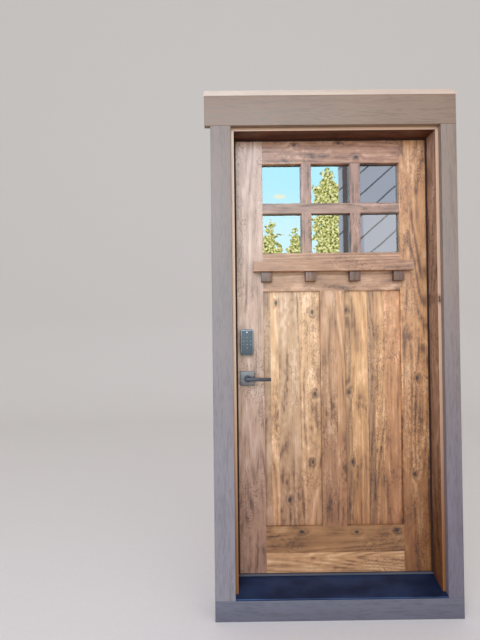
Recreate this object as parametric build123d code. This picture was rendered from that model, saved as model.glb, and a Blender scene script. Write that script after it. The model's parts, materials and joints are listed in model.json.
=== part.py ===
from build123d import *
import math
import os

os.makedirs("parts", exist_ok=True)

# A single-leaf entry door in its frame: six lites over a dentil shelf and two tall panels.
# X runs to the right seen from outside, Y runs into the house, Z runs up.
# The origin is on the wall plane, at the underside of the sill, midway between the jambs.

# leaf, hung on the right and opening inwards
LEAF_WIDTH = 914.4
LEAF_HEIGHT = 2009.8
LEAF_THICK = 44.45
SIDE_GAP = 3.0
HEAD_GAP = 3.0
STILE_WIDTH = 139.7
TOP_RAIL_HEIGHT = 122.0
SHELF_RAIL_HEIGHT = 177.8
BOTTOM_RAIL_HEIGHT = 211.0
MULLION_WIDTH = 114.3
BAR_WIDTH = 47.6
LITE_HEIGHT = 184.0
LITE_COLUMNS = 3
LITE_ROWS = 2
EDGE_EASE = 1.5

# flat panels and sealed units, both held in grooves
PANEL_THICK = 19.05
PANEL_RECESS = 12.7
PANEL_BITE = 11.0
UNIT_THICK = 12.7
UNIT_RECESS = 19.05
UNIT_BITE = 9.5
UNIT_PANE = 3.0
UNIT_SPACER = 7.0
GROOVE_FLOAT = 0.5

# shelf and its dentil blocks
SHELF_WIDTH = 728.0
SHELF_HEIGHT = 45.5
SHELF_DEPTH = 38.0
SHELF_UNDER_LITES = 43.1
SHELF_ROUND = 2.5
DENTIL_COUNT = 4
DENTIL_WIDTH = 49.0
DENTIL_HEIGHT = 46.0
DENTIL_DEPTH = 26.0
DENTIL_END = 35.9

# jambs, rebated for the leaf
JAMB_DEPTH = 133.35
JAMB_THIN = 19.05
REBATE_WIDTH = 12.7
STRIP_GAP = 6.35

# sprung seal in the corner of the rebate
STRIP_WIDTH = 20.5
STRIP_CLEAR = 0.4
STRIP_TONGUE = 2.4
STRIP_TONGUE_DEPTH = 9.0
STRIP_TONGUE_INSET = 2.0

# sill, its cap and the seal under the leaf
NOSE_HEIGHT = 7.0
NOSE_RELIEF = 0.5
NOSE_ROUND = 2.0
SILL_BACK_HEIGHT = 36.0
CAP_HEIGHT = 10.0
CAP_STEP = 4.5
CAP_LIP = 2.5
CAP_SETBACK = 1.5
THRESHOLD_GAP = 2.9
SWEEP_CLEAR = 0.5
SWEEP_WIDTH = 32.0
SWEEP_BASE = 1.2
SWEEP_RIB = 2.4
SWEEP_RIBS = 4
SWEEP_END = 2.0

# painted boards around the frame
CASING_THICK = 25.4
CASING_REVEAL = 12.7
LATCH_CASING_WIDTH = 88.9
HINGE_CASING_WIDTH = 68.0
HEAD_CASING_HEIGHT = 139.7
HEAD_EAR = 26.0
SILL_BOARD_HEIGHT = 88.9

# folded metal drip cap on the head board
DRIP_METAL = 1.2
DRIP_FRONT_LEG = 9.0
DRIP_BACK_LEG = 26.0
DRIP_OVERHANG = 1.5
DRIP_FALL = 1.5

# butt hinges with five knuckles and a loose pin
HINGE_HEIGHT = 101.6
HINGE_TOP_SPACE = 178.0
HINGE_BOTTOM_SPACE = 279.0
HINGE_PLATE = 2.6
HINGE_PLATE_REACH = 35.0
KNUCKLE_RADIUS = 6.35
KNUCKLE_FACE_CLEAR = 0.65
KNUCKLE_COUNT = 5
KNUCKLE_GAP = 0.3
KNUCKLE_NOTCH = 0.6
KNUCKLE_SIDES = 16
PIN_RADIUS = 3.0
BORE_SIDES = 12
PIN_FIT = 0.05
PIN_HEAD_RADIUS = 4.8
PIN_HEAD_HEIGHT = 3.0
HINGE_SCREW_PITCH = 38.0
HINGE_SCREW_STAGGER = 7.0

# countersunk screws
SCREW_HEAD_RADIUS = 4.2
SCREW_SHANK_RADIUS = 2.1
SCREW_SINK = 2.2
SCREW_POINT = 3.0
SCREW_POINT_TAPER = 25.0
SCREW_SIDES = 8
LEAF_SCREW_LENGTH = 28.0
JAMB_SCREW_LENGTH = 16.5
PLATE_SCREW_SPACING = 43.0

# lock and latch
BACKSET = 60.3
LEVER_BELOW_LEAF_TOP = 1115.0
DEADBOLT_ABOVE_LEVER = 139.7
CROSS_BORE = 54.0
EDGE_BORE = 25.4
FACEPLATE_WIDTH = 25.4
FACEPLATE_HEIGHT = 57.0
FACEPLATE_THICK = 3.2
CASE_PAST_AXIS = 11.0
CASE_WALL = 2.0
BOLT_LENGTH = 47.0
BOLT_CLEAR = 0.35
BOLT_END_ROOM = 1.5
LATCH_BOLT_WIDTH = 12.7
LATCH_BOLT_HEIGHT = 17.0
LATCH_BEVEL_FLAT = 3.0
LATCH_BEVEL_LENGTH = 9.7
DEADBOLT_WIDTH = 14.0
DEADBOLT_HEIGHT = 18.0
DEADBOLT_ROUND = 3.0
STRIKE_THICK = 1.6
STRIKE_HEIGHT = 70.0
STRIKE_WIDTH = 28.0
STRIKE_SCREW_SPACING = 52.0
STRIKE_ROOM = 1.5
STRIKE_LIP_RADIUS = 6.6
STRIKE_LIP_ANGLE = 65.0

# square rosettes and straight levers
ROSETTE_SIDE = 66.7
ROSETTE_THICK = 9.0
ROSETTE_CORNER = 4.0
ROSETTE_EDGE = 1.6
HUB_RADIUS = 12.5
HUB_FIT = 0.05
LEVER_REACH = 106.0
LEVER_PROJECTION = 54.0
LEVER_HEIGHT = 16.0
LEVER_THICK = 11.0
LEVER_EDGE = 1.5
HUB_BEHIND_FACE = 1.5
SPINDLE_SIDE = 8.0
SPINDLE_ROOM = 0.35
SPINDLE_BITE = 14.0
THROUGH_BOLT_OFFSET = 20.5
THROUGH_BOLT_BITE = 5.0

# touch keypad outside, battery lock housing inside
KEYPAD_WIDTH = 59.0
KEYPAD_HEIGHT = 117.0
KEYPAD_THICK = 23.0
KEYPAD_CORNER = 8.0
KEYPAD_EDGE = 3.0
KEYPAD_ABOVE_BOLT = 27.0
KEYPAD_BORDER = 4.5
KEYPAD_FACE_SINK = 2.0
KEYPAD_FACE_PROUD = 0.6
HOUSING_WIDTH = 68.0
HOUSING_HEIGHT = 152.0
HOUSING_THICK = 27.0
HOUSING_CORNER = 10.0
HOUSING_EDGE = 3.0
HOUSING_ABOVE_BOLT = 37.0
COVER_BORDER = 3.0
COVER_ABOVE_BOLT = 27.0
COVER_THICK = 4.5
TURN_SHAFT_RADIUS = 6.0
TURN_FIT = 0.05
TURN_FLANGE_RADIUS = 15.0
TURN_FLANGE_THICK = 3.5
TURN_CLEAR = 0.5
TURN_LENGTH = 38.0
TURN_WIDTH = 11.0
TURN_HEIGHT = 17.0
TURN_EDGE = 2.0
TAIL_WIDTH = 7.0
TAIL_THICK = 2.2
TAIL_ROOM = 0.35
TAIL_PAST_MIDDLE = 8.0

# planes and levels that follow from the sizes above
LEAF_X = LEAF_WIDTH / 2
REBATE_X = LEAF_X + SIDE_GAP
JAMB_FACE_X = REBATE_X - REBATE_WIDTH
JAMB_BACK_X = REBATE_X + JAMB_THIN
LEAF_FRONT_Y = JAMB_DEPTH - LEAF_THICK
LEAF_BACK_Y = JAMB_DEPTH
LEAF_MIDDLE_Y = JAMB_DEPTH - LEAF_THICK / 2
STOP_Y = LEAF_FRONT_Y - STRIP_GAP
CAP_TOP_Z = SILL_BACK_HEIGHT + CAP_HEIGHT
LEAF_BOTTOM_Z = CAP_TOP_Z + THRESHOLD_GAP
LEAF_TOP_Z = LEAF_BOTTOM_Z + LEAF_HEIGHT
REBATE_Z = LEAF_TOP_Z + HEAD_GAP
HEAD_FACE_Z = REBATE_Z - REBATE_WIDTH
JAMB_TOP_Z = REBATE_Z + JAMB_THIN
CASING_X = JAMB_FACE_X + CASING_REVEAL
CASING_Z = HEAD_FACE_Z + CASING_REVEAL
CASING_LEFT_X = -CASING_X - LATCH_CASING_WIDTH
CASING_RIGHT_X = CASING_X + HINGE_CASING_WIDTH
STILE_X = LEAF_X - STILE_WIDTH
LITE_WIDTH = (2 * STILE_X - (LITE_COLUMNS - 1) * BAR_WIDTH) / LITE_COLUMNS
LITES_TOP_Z = LEAF_TOP_Z - TOP_RAIL_HEIGHT
LITES_HEIGHT = LITE_ROWS * LITE_HEIGHT + (LITE_ROWS - 1) * BAR_WIDTH
LITES_BOTTOM_Z = LITES_TOP_Z - LITES_HEIGHT
PANELS_TOP_Z = LITES_BOTTOM_Z - SHELF_RAIL_HEIGHT
PANELS_BOTTOM_Z = LEAF_BOTTOM_Z + BOTTOM_RAIL_HEIGHT
SHELF_TOP_Z = LITES_BOTTOM_Z - SHELF_UNDER_LITES
SHELF_BOTTOM_Z = SHELF_TOP_Z - SHELF_HEIGHT
LOCK_X = -LEAF_X + BACKSET
LEVER_Z = LEAF_TOP_Z - LEVER_BELOW_LEAF_TOP
DEADBOLT_Z = LEVER_Z + DEADBOLT_ABOVE_LEVER
PIN_X = LEAF_X + SIDE_GAP / 2
PIN_Y = LEAF_BACK_Y + KNUCKLE_RADIUS + KNUCKLE_FACE_CLEAR
TOP_HINGE_Z = LEAF_TOP_Z - HINGE_TOP_SPACE - HINGE_HEIGHT / 2
BOTTOM_HINGE_Z = LEAF_BOTTOM_Z + HINGE_BOTTOM_SPACE + HINGE_HEIGHT / 2
HINGE_LEVELS = {
    "top": TOP_HINGE_Z,
    "middle": (TOP_HINGE_Z + BOTTOM_HINGE_Z) / 2,
    "bottom": BOTTOM_HINGE_Z,
}


def board(x, y, z):
    """A straight block; each argument is the pair of values it spans on that axis."""
    size = Box(x[1] - x[0], y[1] - y[0], z[1] - z[0])
    return Pos((x[0] + x[1]) / 2, (y[0] + y[1]) / 2, (z[0] + z[1]) / 2) * size


def along_x(points, x):
    """A profile of (Y, Z) points carried along X between two values."""
    profile = make_face(Plane.YZ.offset(x[0]) * Polyline(*points, close=True))
    return extrude(profile, amount=x[1] - x[0], dir=(1, 0, 0))


def along_z(points, z):
    """A profile of (X, Y) points carried up Z between two levels."""
    profile = make_face(Plane.XY.offset(z[0]) * Polyline(*points, close=True))
    return extrude(profile, amount=z[1] - z[0], dir=(0, 0, 1))


def front_plane(x, y, z):
    """A plane facing outdoors, with its first axis to the right and its second axis up."""
    return Plane((x, y, z), x_dir=(1, 0, 0), z_dir=(0, -1, 0))


def rod_y(x, z, radius, y):
    """A round rod through the door between two values of Y."""
    return extrude(front_plane(x, y[1], z) * Circle(radius), amount=y[1] - y[0])


def rod_x(y, z, radius, x):
    """A round rod across the door between two values of X."""
    return extrude(Plane.YZ.offset(x[0]) * Pos(y, z) * Circle(radius), amount=x[1] - x[0])


def screw(place, direction, length):
    """A countersunk screw with its head flush at a place, driven in a direction."""
    flat = math.cos(math.pi / SCREW_SIDES)
    narrowing = (SCREW_HEAD_RADIUS - SCREW_SHANK_RADIUS) * flat
    head_taper = math.degrees(math.atan(narrowing / SCREW_SINK))
    head = extrude(RegularPolygon(SCREW_HEAD_RADIUS, SCREW_SIDES), amount=SCREW_SINK, taper=head_taper)
    shank = Pos(0, 0, SCREW_SINK) * RegularPolygon(SCREW_SHANK_RADIUS, SCREW_SIDES)
    body = head + extrude(shank, amount=length - SCREW_SINK - SCREW_POINT)
    point = Pos(0, 0, length - SCREW_POINT) * RegularPolygon(SCREW_SHANK_RADIUS, SCREW_SIDES)
    body += extrude(point, amount=SCREW_POINT, taper=SCREW_POINT_TAPER)
    return Plane(place, z_dir=direction) * body


def sill():
    """The sloping metal sill, with a nose between the casings that clears the board below."""
    profile = [
        (-CASING_THICK, NOSE_RELIEF),
        (-CASING_THICK, NOSE_HEIGHT),
        (STOP_Y, SILL_BACK_HEIGHT),
        (JAMB_DEPTH, SILL_BACK_HEIGHT),
        (JAMB_DEPTH, 0),
        (0, 0),
        (0, NOSE_RELIEF),
    ]
    body = along_x(profile, (-JAMB_BACK_X, JAMB_BACK_X))
    nose_edges = body.edges().filter_by(Axis.X).group_by(Axis.Y)[0].sort_by(Axis.Z)[-1:]
    body = fillet(nose_edges, NOSE_ROUND)
    depth = (-CASING_THICK, 0)
    height = (0, SILL_BACK_HEIGHT)
    body -= board((-JAMB_BACK_X, -CASING_X), depth, height)
    body -= board((CASING_X, JAMB_BACK_X), depth, height)
    return body


def sill_cap():
    """The stepped strip on the sill that the leaf closes over."""
    front = STOP_Y + CAP_SETBACK
    profile = [
        (front + CAP_LIP, SILL_BACK_HEIGHT),
        (front + CAP_LIP, SILL_BACK_HEIGHT + CAP_STEP),
        (front, SILL_BACK_HEIGHT + CAP_STEP),
        (front, CAP_TOP_Z),
        (JAMB_DEPTH, CAP_TOP_Z),
        (JAMB_DEPTH, SILL_BACK_HEIGHT),
    ]
    return along_x(profile, (-REBATE_X, REBATE_X))


def head_jamb():
    """The head jamb, rebated along its length, between the side jambs."""
    profile = [
        (0, HEAD_FACE_Z),
        (STOP_Y, HEAD_FACE_Z),
        (STOP_Y, REBATE_Z),
        (JAMB_DEPTH, REBATE_Z),
        (JAMB_DEPTH, JAMB_TOP_Z),
        (0, JAMB_TOP_Z),
    ]
    return along_x(profile, (-REBATE_X, REBATE_X))


def side_jamb(side):
    """A side jamb (side is -1 for the latch, 1 for the hinges), coped to sill and head."""
    profile = [
        (side * JAMB_FACE_X, 0),
        (side * JAMB_FACE_X, STOP_Y),
        (side * REBATE_X, STOP_Y),
        (side * REBATE_X, JAMB_DEPTH),
        (side * JAMB_BACK_X, JAMB_DEPTH),
        (side * JAMB_BACK_X, 0),
    ]
    return along_z(profile, (0, JAMB_TOP_Z)) - sill() - head_jamb()


def glued_up(jamb):
    """The latch jamb as the plies and core blocks it is glued up from, round both bolt pockets."""
    pocket = DEADBOLT_WIDTH / 2 + STRIKE_ROOM
    joints = [0, STOP_Y, LEAF_MIDDLE_Y - pocket, LEAF_MIDDLE_Y + pocket, JAMB_DEPTH]
    across = (-JAMB_BACK_X, -JAMB_FACE_X)
    plies = [jamb & board(across, span, (0, JAMB_TOP_Z)) for span in zip(joints, joints[1:])]
    return Compound([piece for ply in plies for piece in ply.solids()])


def strip_profile():
    """Section of the seal: first axis away from the rebate, second towards the leaf."""
    thick = STRIP_GAP - STRIP_CLEAR
    flat = STRIP_WIDTH - thick / 2
    body = Pos(flat / 2, thick / 2) * Rectangle(flat, thick)
    bulb = Pos(flat, thick / 2) * Circle(thick / 2)
    tongue_middle = STRIP_TONGUE_INSET + STRIP_TONGUE / 2
    tongue = Rectangle(STRIP_TONGUE, STRIP_TONGUE_DEPTH)
    return body + bulb + Pos(tongue_middle, -STRIP_TONGUE_DEPTH / 2) * tongue


def side_strip(side):
    """The seal up one side, from the sill cap to the head seal."""
    place = (side * REBATE_X, STOP_Y, CAP_TOP_Z)
    plane = Plane(place, x_dir=(-side, 0, 0), z_dir=(0, 0, -side))
    height = REBATE_Z - STRIP_WIDTH - CAP_TOP_Z
    return extrude(plane * strip_profile(), amount=-side * height)


def head_strip():
    """The seal across the head."""
    plane = Plane((-REBATE_X, STOP_Y, REBATE_Z), x_dir=(0, 0, -1), z_dir=(1, 0, 0))
    return extrude(plane * strip_profile(), amount=2 * REBATE_X)


def drip_cap():
    """The folded drip cap: a front leg, a falling top and a leg up the wall."""
    top = CASING_Z + HEAD_CASING_HEIGHT
    front = -CASING_THICK
    fold = top + DRIP_FALL
    profile = [
        (front - DRIP_METAL, top - DRIP_FRONT_LEG),
        (front, top - DRIP_FRONT_LEG),
        (front, top),
        (0, top),
        (0, fold + DRIP_BACK_LEG),
        (-DRIP_METAL, fold + DRIP_BACK_LEG),
        (-DRIP_METAL, fold + DRIP_METAL),
        (front - DRIP_METAL, top + DRIP_METAL),
    ]
    ends = (CASING_LEFT_X - HEAD_EAR - DRIP_OVERHANG, CASING_RIGHT_X + DRIP_OVERHANG)
    return along_x(profile, ends)


def hinge_screw_places(level, x):
    """The three staggered screw places of one hinge plate, on the face at x."""
    middle = LEAF_BACK_Y - HINGE_PLATE_REACH / 2
    places = []
    for step, stagger in ((-1, 1), (0, -1), (1, 1)):
        y = middle + stagger * HINGE_SCREW_STAGGER
        places.append((x, y, level + step * HINGE_SCREW_PITCH))
    return places


def upright(section, bottom, height):
    """A section carried up the hinge pin's axis from a level."""
    return extrude(Pos(PIN_X, PIN_Y, bottom) * section, amount=height)


def hinge_half(level, face_x, plate_x, first):
    """One plate of a hinge with its knuckles.

    face_x is the face the plate lies flush with and plate_x its buried side;
    first tells which knuckle, counted from the bottom, is its lowest.
    """
    bottom = level - HINGE_HEIGHT / 2
    pitch = HINGE_HEIGHT / KNUCKLE_COUNT
    sides = (min(face_x, plate_x), max(face_x, plate_x))
    reach = (LEAF_BACK_Y - HINGE_PLATE_REACH, PIN_Y)
    half = board(sides, reach, (bottom, bottom + HINGE_HEIGHT))
    knuckle = RegularPolygon(KNUCKLE_RADIUS, KNUCKLE_SIDES)
    notch = 2 * (KNUCKLE_RADIUS + KNUCKLE_NOTCH)
    for index in range(KNUCKLE_COUNT):
        low = bottom + index * pitch
        if index % 2 == first:
            half += upright(knuckle, low + KNUCKLE_GAP / 2, pitch - KNUCKLE_GAP)
        else:
            half -= upright(Rectangle(notch, notch), low - KNUCKLE_GAP / 2, pitch + KNUCKLE_GAP)
    bore = RegularPolygon(PIN_RADIUS + PIN_FIT, BORE_SIDES, major_radius=False)
    return half - upright(bore, bottom, HINGE_HEIGHT)


def hinge_pin(level):
    """The loose pin of one hinge, with its button head resting on the top knuckle."""
    pin = upright(Circle(PIN_RADIUS), level - HINGE_HEIGHT / 2, HINGE_HEIGHT)
    button = RegularPolygon(PIN_HEAD_RADIUS, KNUCKLE_SIDES)
    return pin + upright(button, level + HINGE_HEIGHT / 2, PIN_HEAD_HEIGHT)


def opening_ease(x, z):
    """The eased outer edge around one lite or panel, as the volume it takes away."""
    plane = front_plane(sum(x) / 2, LEAF_FRONT_Y + EDGE_EASE, sum(z) / 2)
    face = plane * Rectangle(x[1] - x[0], z[1] - z[0])
    return extrude(face, amount=EDGE_EASE, taper=-45)


def held_sheet(x, z, recess, thick, bite):
    """The volume of a sheet of the given thickness set into grooves around an opening."""
    depth = (LEAF_FRONT_Y + recess, LEAF_FRONT_Y + recess + thick)
    return board((x[0] - bite, x[1] + bite), depth, (z[0] - bite, z[1] + bite))


def lite_openings():
    """The spans in X and Z of every lite, left to right, upper row first."""
    spans = []
    for row in range(LITE_ROWS):
        top = LITES_TOP_Z - row * (LITE_HEIGHT + BAR_WIDTH)
        for column in range(LITE_COLUMNS):
            left = -STILE_X + column * (LITE_WIDTH + BAR_WIDTH)
            spans.append(((left, left + LITE_WIDTH), (top - LITE_HEIGHT, top)))
    return spans


def panel_openings():
    """The spans in X and Z of the left and the right panel."""
    height = (PANELS_BOTTOM_Z, PANELS_TOP_Z)
    return [((-STILE_X, -MULLION_WIDTH / 2), height), ((MULLION_WIDTH / 2, STILE_X), height)]


def sealed_unit(x, z):
    """Two panes with an air space between them, closed by a spacer around the edge."""
    grow = UNIT_BITE - GROOVE_FLOAT
    unit = held_sheet(x, z, UNIT_RECESS, UNIT_THICK, grow)
    air = held_sheet(x, z, UNIT_RECESS + UNIT_PANE, UNIT_THICK - 2 * UNIT_PANE, grow - UNIT_SPACER)
    return unit - air


def shelf():
    """The shelf across the leaf, with its two front edges rounded."""
    depth = (LEAF_FRONT_Y - SHELF_DEPTH, LEAF_FRONT_Y)
    body = board((-SHELF_WIDTH / 2, SHELF_WIDTH / 2), depth, (SHELF_BOTTOM_Z, SHELF_TOP_Z))
    return fillet(body.edges().filter_by(Axis.X).group_by(Axis.Y)[0], SHELF_ROUND)


def dentil(index):
    """One dentil block under the shelf, eased on its lower front edge."""
    pitch = (SHELF_WIDTH - 2 * DENTIL_END - DENTIL_WIDTH) / (DENTIL_COUNT - 1)
    middle = (index - (DENTIL_COUNT - 1) / 2) * pitch
    width = (middle - DENTIL_WIDTH / 2, middle + DENTIL_WIDTH / 2)
    depth = (LEAF_FRONT_Y - DENTIL_DEPTH, LEAF_FRONT_Y)
    body = board(width, depth, (SHELF_BOTTOM_Z - DENTIL_HEIGHT, SHELF_BOTTOM_Z))
    lower = body.edges().filter_by(Axis.X).group_by(Axis.Y)[0].sort_by(Axis.Z)[:1]
    return chamfer(lower, EDGE_EASE)


def door_sweep():
    """The ribbed seal under the leaf, just clear of the sill cap."""
    base = (LEAF_MIDDLE_Y - SWEEP_WIDTH / 2, LEAF_MIDDLE_Y + SWEEP_WIDTH / 2)
    width = (-LEAF_X + SWEEP_END, LEAF_X - SWEEP_END)
    body = board(width, base, (LEAF_BOTTOM_Z - SWEEP_BASE, LEAF_BOTTOM_Z))
    pitch = (SWEEP_WIDTH - SWEEP_RIB) / (SWEEP_RIBS - 1)
    for index in range(SWEEP_RIBS):
        near = base[0] + index * pitch
        body += board(width, (near, near + SWEEP_RIB), (CAP_TOP_Z + SWEEP_CLEAR, LEAF_BOTTOM_Z))
    return body


def latch_bolt():
    """The latch bolt, drawn back flush with the edge, its bevel facing the stop."""
    near = LEAF_MIDDLE_Y - LATCH_BOLT_WIDTH / 2
    far = LEAF_MIDDLE_Y + LATCH_BOLT_WIDTH / 2
    profile = [
        (-LEAF_X, far),
        (-LEAF_X, far - LATCH_BEVEL_FLAT),
        (-LEAF_X + LATCH_BEVEL_LENGTH, near),
        (-LEAF_X + BOLT_LENGTH, near),
        (-LEAF_X + BOLT_LENGTH, far),
    ]
    return along_z(profile, (LEVER_Z - LATCH_BOLT_HEIGHT / 2, LEVER_Z + LATCH_BOLT_HEIGHT / 2))


def deadbolt():
    """The deadbolt, drawn back flush with the edge, with rounded corners."""
    place = Plane.YZ.offset(-LEAF_X) * Pos(LEAF_MIDDLE_Y, DEADBOLT_Z)
    section = RectangleRounded(DEADBOLT_WIDTH, DEADBOLT_HEIGHT, DEADBOLT_ROUND)
    return extrude(place * section, amount=BOLT_LENGTH)


def bolt_case(level, width, height, hub_radius):
    """A face plate, a tube in the edge bore and a flat cassette in the cross bore.

    The bolt's channel runs through all three, and the cassette has the hole for what turns it.
    """
    middle = LEAF_MIDDLE_Y
    plate_y = (middle - FACEPLATE_WIDTH / 2, middle + FACEPLATE_WIDTH / 2)
    plate_z = (level - FACEPLATE_HEIGHT / 2, level + FACEPLATE_HEIGHT / 2)
    channel_y = (middle - width / 2 - BOLT_CLEAR, middle + width / 2 + BOLT_CLEAR)
    channel_z = (level - height / 2 - BOLT_CLEAR, level + height / 2 + BOLT_CLEAR)
    cassette_y = (channel_y[0] - CASE_WALL, channel_y[1] + CASE_WALL)
    cassette_z = (channel_z[0] - CASE_WALL, channel_z[1] + CASE_WALL)
    half_height = (cassette_z[1] - cassette_z[0]) / 2
    bore_edge = LOCK_X - math.sqrt((CROSS_BORE / 2) ** 2 - half_height**2)
    case = board((-LEAF_X, -LEAF_X + FACEPLATE_THICK), plate_y, plate_z)
    case += rod_x(middle, level, EDGE_BORE / 2, (-LEAF_X, bore_edge))
    case += board((bore_edge, LOCK_X + CASE_PAST_AXIS), cassette_y, cassette_z)
    case -= board((-LEAF_X, -LEAF_X + BOLT_LENGTH + BOLT_END_ROOM), channel_y, channel_z)
    case -= rod_y(LOCK_X, level, hub_radius, (LEAF_FRONT_Y, LEAF_BACK_Y))
    return case


def faceplate_screws(level):
    """The two screws of a face plate, driven into the edge of the leaf."""
    drop = PLATE_SCREW_SPACING / 2
    places = [(-LEAF_X, LEAF_MIDDLE_Y, level + step * drop) for step in (-1, 1)]
    return [screw(place, (1, 0, 0), LEAF_SCREW_LENGTH) for place in places]


def strike_hole(level, width, height):
    """The way of a bolt through its strike plate and the jamb."""
    half_width = width / 2 + STRIKE_ROOM
    half_height = height / 2 + STRIKE_ROOM
    across = (-JAMB_BACK_X, -REBATE_X)
    depth = (LEAF_MIDDLE_Y - half_width, LEAF_MIDDLE_Y + half_width)
    return board(across, depth, (level - half_height, level + half_height))


def strike_screws(level):
    """The two screws of a strike plate, driven into the jamb."""
    drop = STRIKE_SCREW_SPACING / 2
    places = [(-REBATE_X, LEAF_MIDDLE_Y, level + step * drop) for step in (-1, 1)]
    return [screw(place, (-1, 0, 0), JAMB_SCREW_LENGTH) for place in places]


def strike_plate(level, lipped):
    """A strike plate let in flush; a lipped one reaches past the jamb and curls back."""
    inner = LEAF_MIDDLE_Y - STRIKE_WIDTH / 2
    outer = LEAF_BACK_Y if lipped else LEAF_MIDDLE_Y + STRIKE_WIDTH / 2
    height = (level - STRIKE_HEIGHT / 2, level + STRIKE_HEIGHT / 2)
    plate = board((-REBATE_X - STRIKE_THICK, -REBATE_X), (inner, outer), height)
    if lipped:
        centre = (-REBATE_X - STRIKE_LIP_RADIUS, LEAF_BACK_Y)
        edge = Line((-REBATE_X - STRIKE_THICK, LEAF_BACK_Y), (-REBATE_X, LEAF_BACK_Y))
        outside = CenterArc(centre, STRIKE_LIP_RADIUS, 0, STRIKE_LIP_ANGLE)
        inside = CenterArc(centre, STRIKE_LIP_RADIUS - STRIKE_THICK, 0, STRIKE_LIP_ANGLE)
        tip = Line(outside @ 1, inside @ 1)
        curl = make_face(edge + outside + tip + inside)
        low = level - STRIKE_HEIGHT / 4
        plate += extrude(Pos(0, 0, low) * curl, amount=STRIKE_HEIGHT / 2)
    return plate


def rosette_plate(face_y, out):
    """A square rosette on a face of the leaf; out is -1 outdoors and 1 indoors."""
    plane = front_plane(LOCK_X, face_y, LEVER_Z)
    square = Rectangle(ROSETTE_SIDE, ROSETTE_SIDE)
    section = plane * chamfer(square.vertices(), ROSETTE_CORNER)
    plate = extrude(section, amount=-out * ROSETTE_THICK)
    outer = plate.faces().sort_by(Axis.Y)[0 if out < 0 else -1]
    plate = chamfer(outer.edges(), ROSETTE_EDGE)
    return plate - rod_y(LOCK_X, LEVER_Z, HUB_RADIUS + HUB_FIT, (0, 2 * JAMB_DEPTH))


def lever_handle(face_y, out):
    """A straight lever on its hub, pointing away from the latch edge."""
    tip_y = face_y + out * LEVER_PROJECTION
    hub_end = tip_y - out * HUB_BEHIND_FACE
    hub = rod_y(LOCK_X, LEVER_Z, HUB_RADIUS, (min(face_y, hub_end), max(face_y, hub_end)))
    middle = LOCK_X + (LEVER_REACH - LEVER_HEIGHT / 2) / 2
    length = LEVER_REACH + LEVER_HEIGHT / 2
    section = Pos(middle - LOCK_X, 0) * Rectangle(length, LEVER_HEIGHT)
    bar = extrude(front_plane(LOCK_X, tip_y, LEVER_Z) * section, amount=out * LEVER_THICK)
    bar = chamfer(bar.edges().filter_by(Axis.X) + bar.edges().filter_by(Axis.Y), LEVER_EDGE)
    return hub + bar


def spindle():
    """The square spindle from the outer lever into the inner lever's hub."""
    side = SPINDLE_SIDE / 2
    depth = (LEAF_FRONT_Y, LEAF_BACK_Y + SPINDLE_BITE)
    return board((LOCK_X - side, LOCK_X + side), depth, (LEVER_Z - side, LEVER_Z + side))


def keypad_face():
    """The flat touch face, let into the front of the keypad housing."""
    level = DEADBOLT_Z + KEYPAD_ABOVE_BOLT
    front = LEAF_FRONT_Y - KEYPAD_THICK
    plane = front_plane(LOCK_X, front + KEYPAD_FACE_SINK, level)
    width = KEYPAD_WIDTH - 2 * KEYPAD_BORDER
    height = KEYPAD_HEIGHT - 2 * KEYPAD_BORDER
    section = RectangleRounded(width, height, KEYPAD_CORNER - KEYPAD_BORDER)
    return extrude(plane * section, amount=KEYPAD_FACE_SINK + KEYPAD_FACE_PROUD)


def keypad_housing():
    """The outdoor lock housing, with its bevelled rim and the recess for the touch face."""
    level = DEADBOLT_Z + KEYPAD_ABOVE_BOLT
    plane = front_plane(LOCK_X, LEAF_FRONT_Y, level)
    section = plane * RectangleRounded(KEYPAD_WIDTH, KEYPAD_HEIGHT, KEYPAD_CORNER)
    body = extrude(section, amount=KEYPAD_THICK)
    return chamfer(body.faces().sort_by(Axis.Y)[0].edges(), KEYPAD_EDGE) - keypad_face()


def lock_cover():
    """The battery cover on the upper part of the indoor housing."""
    top = DEADBOLT_Z + HOUSING_ABOVE_BOLT + HOUSING_HEIGHT / 2 - COVER_BORDER
    bottom = DEADBOLT_Z + COVER_ABOVE_BOLT
    plane = front_plane(LOCK_X, LEAF_BACK_Y + HOUSING_THICK, (top + bottom) / 2)
    width = HOUSING_WIDTH - 2 * COVER_BORDER
    section = RectangleRounded(width, top - bottom, HOUSING_CORNER - COVER_BORDER)
    cover = extrude(plane * section, amount=-COVER_THICK)
    return chamfer(cover.faces().sort_by(Axis.Y)[-1].edges(), ROSETTE_EDGE)


def lock_housing():
    """The indoor lock housing, bored for the thumb turn."""
    plane = front_plane(LOCK_X, LEAF_BACK_Y, DEADBOLT_Z + HOUSING_ABOVE_BOLT)
    section = plane * RectangleRounded(HOUSING_WIDTH, HOUSING_HEIGHT, HOUSING_CORNER)
    body = extrude(section, amount=-HOUSING_THICK)
    body = chamfer(body.faces().sort_by(Axis.Y)[-1].edges(), HOUSING_EDGE / 2)
    return body - rod_y(LOCK_X, DEADBOLT_Z, TURN_SHAFT_RADIUS + TURN_FIT, (0, 2 * JAMB_DEPTH))


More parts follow.
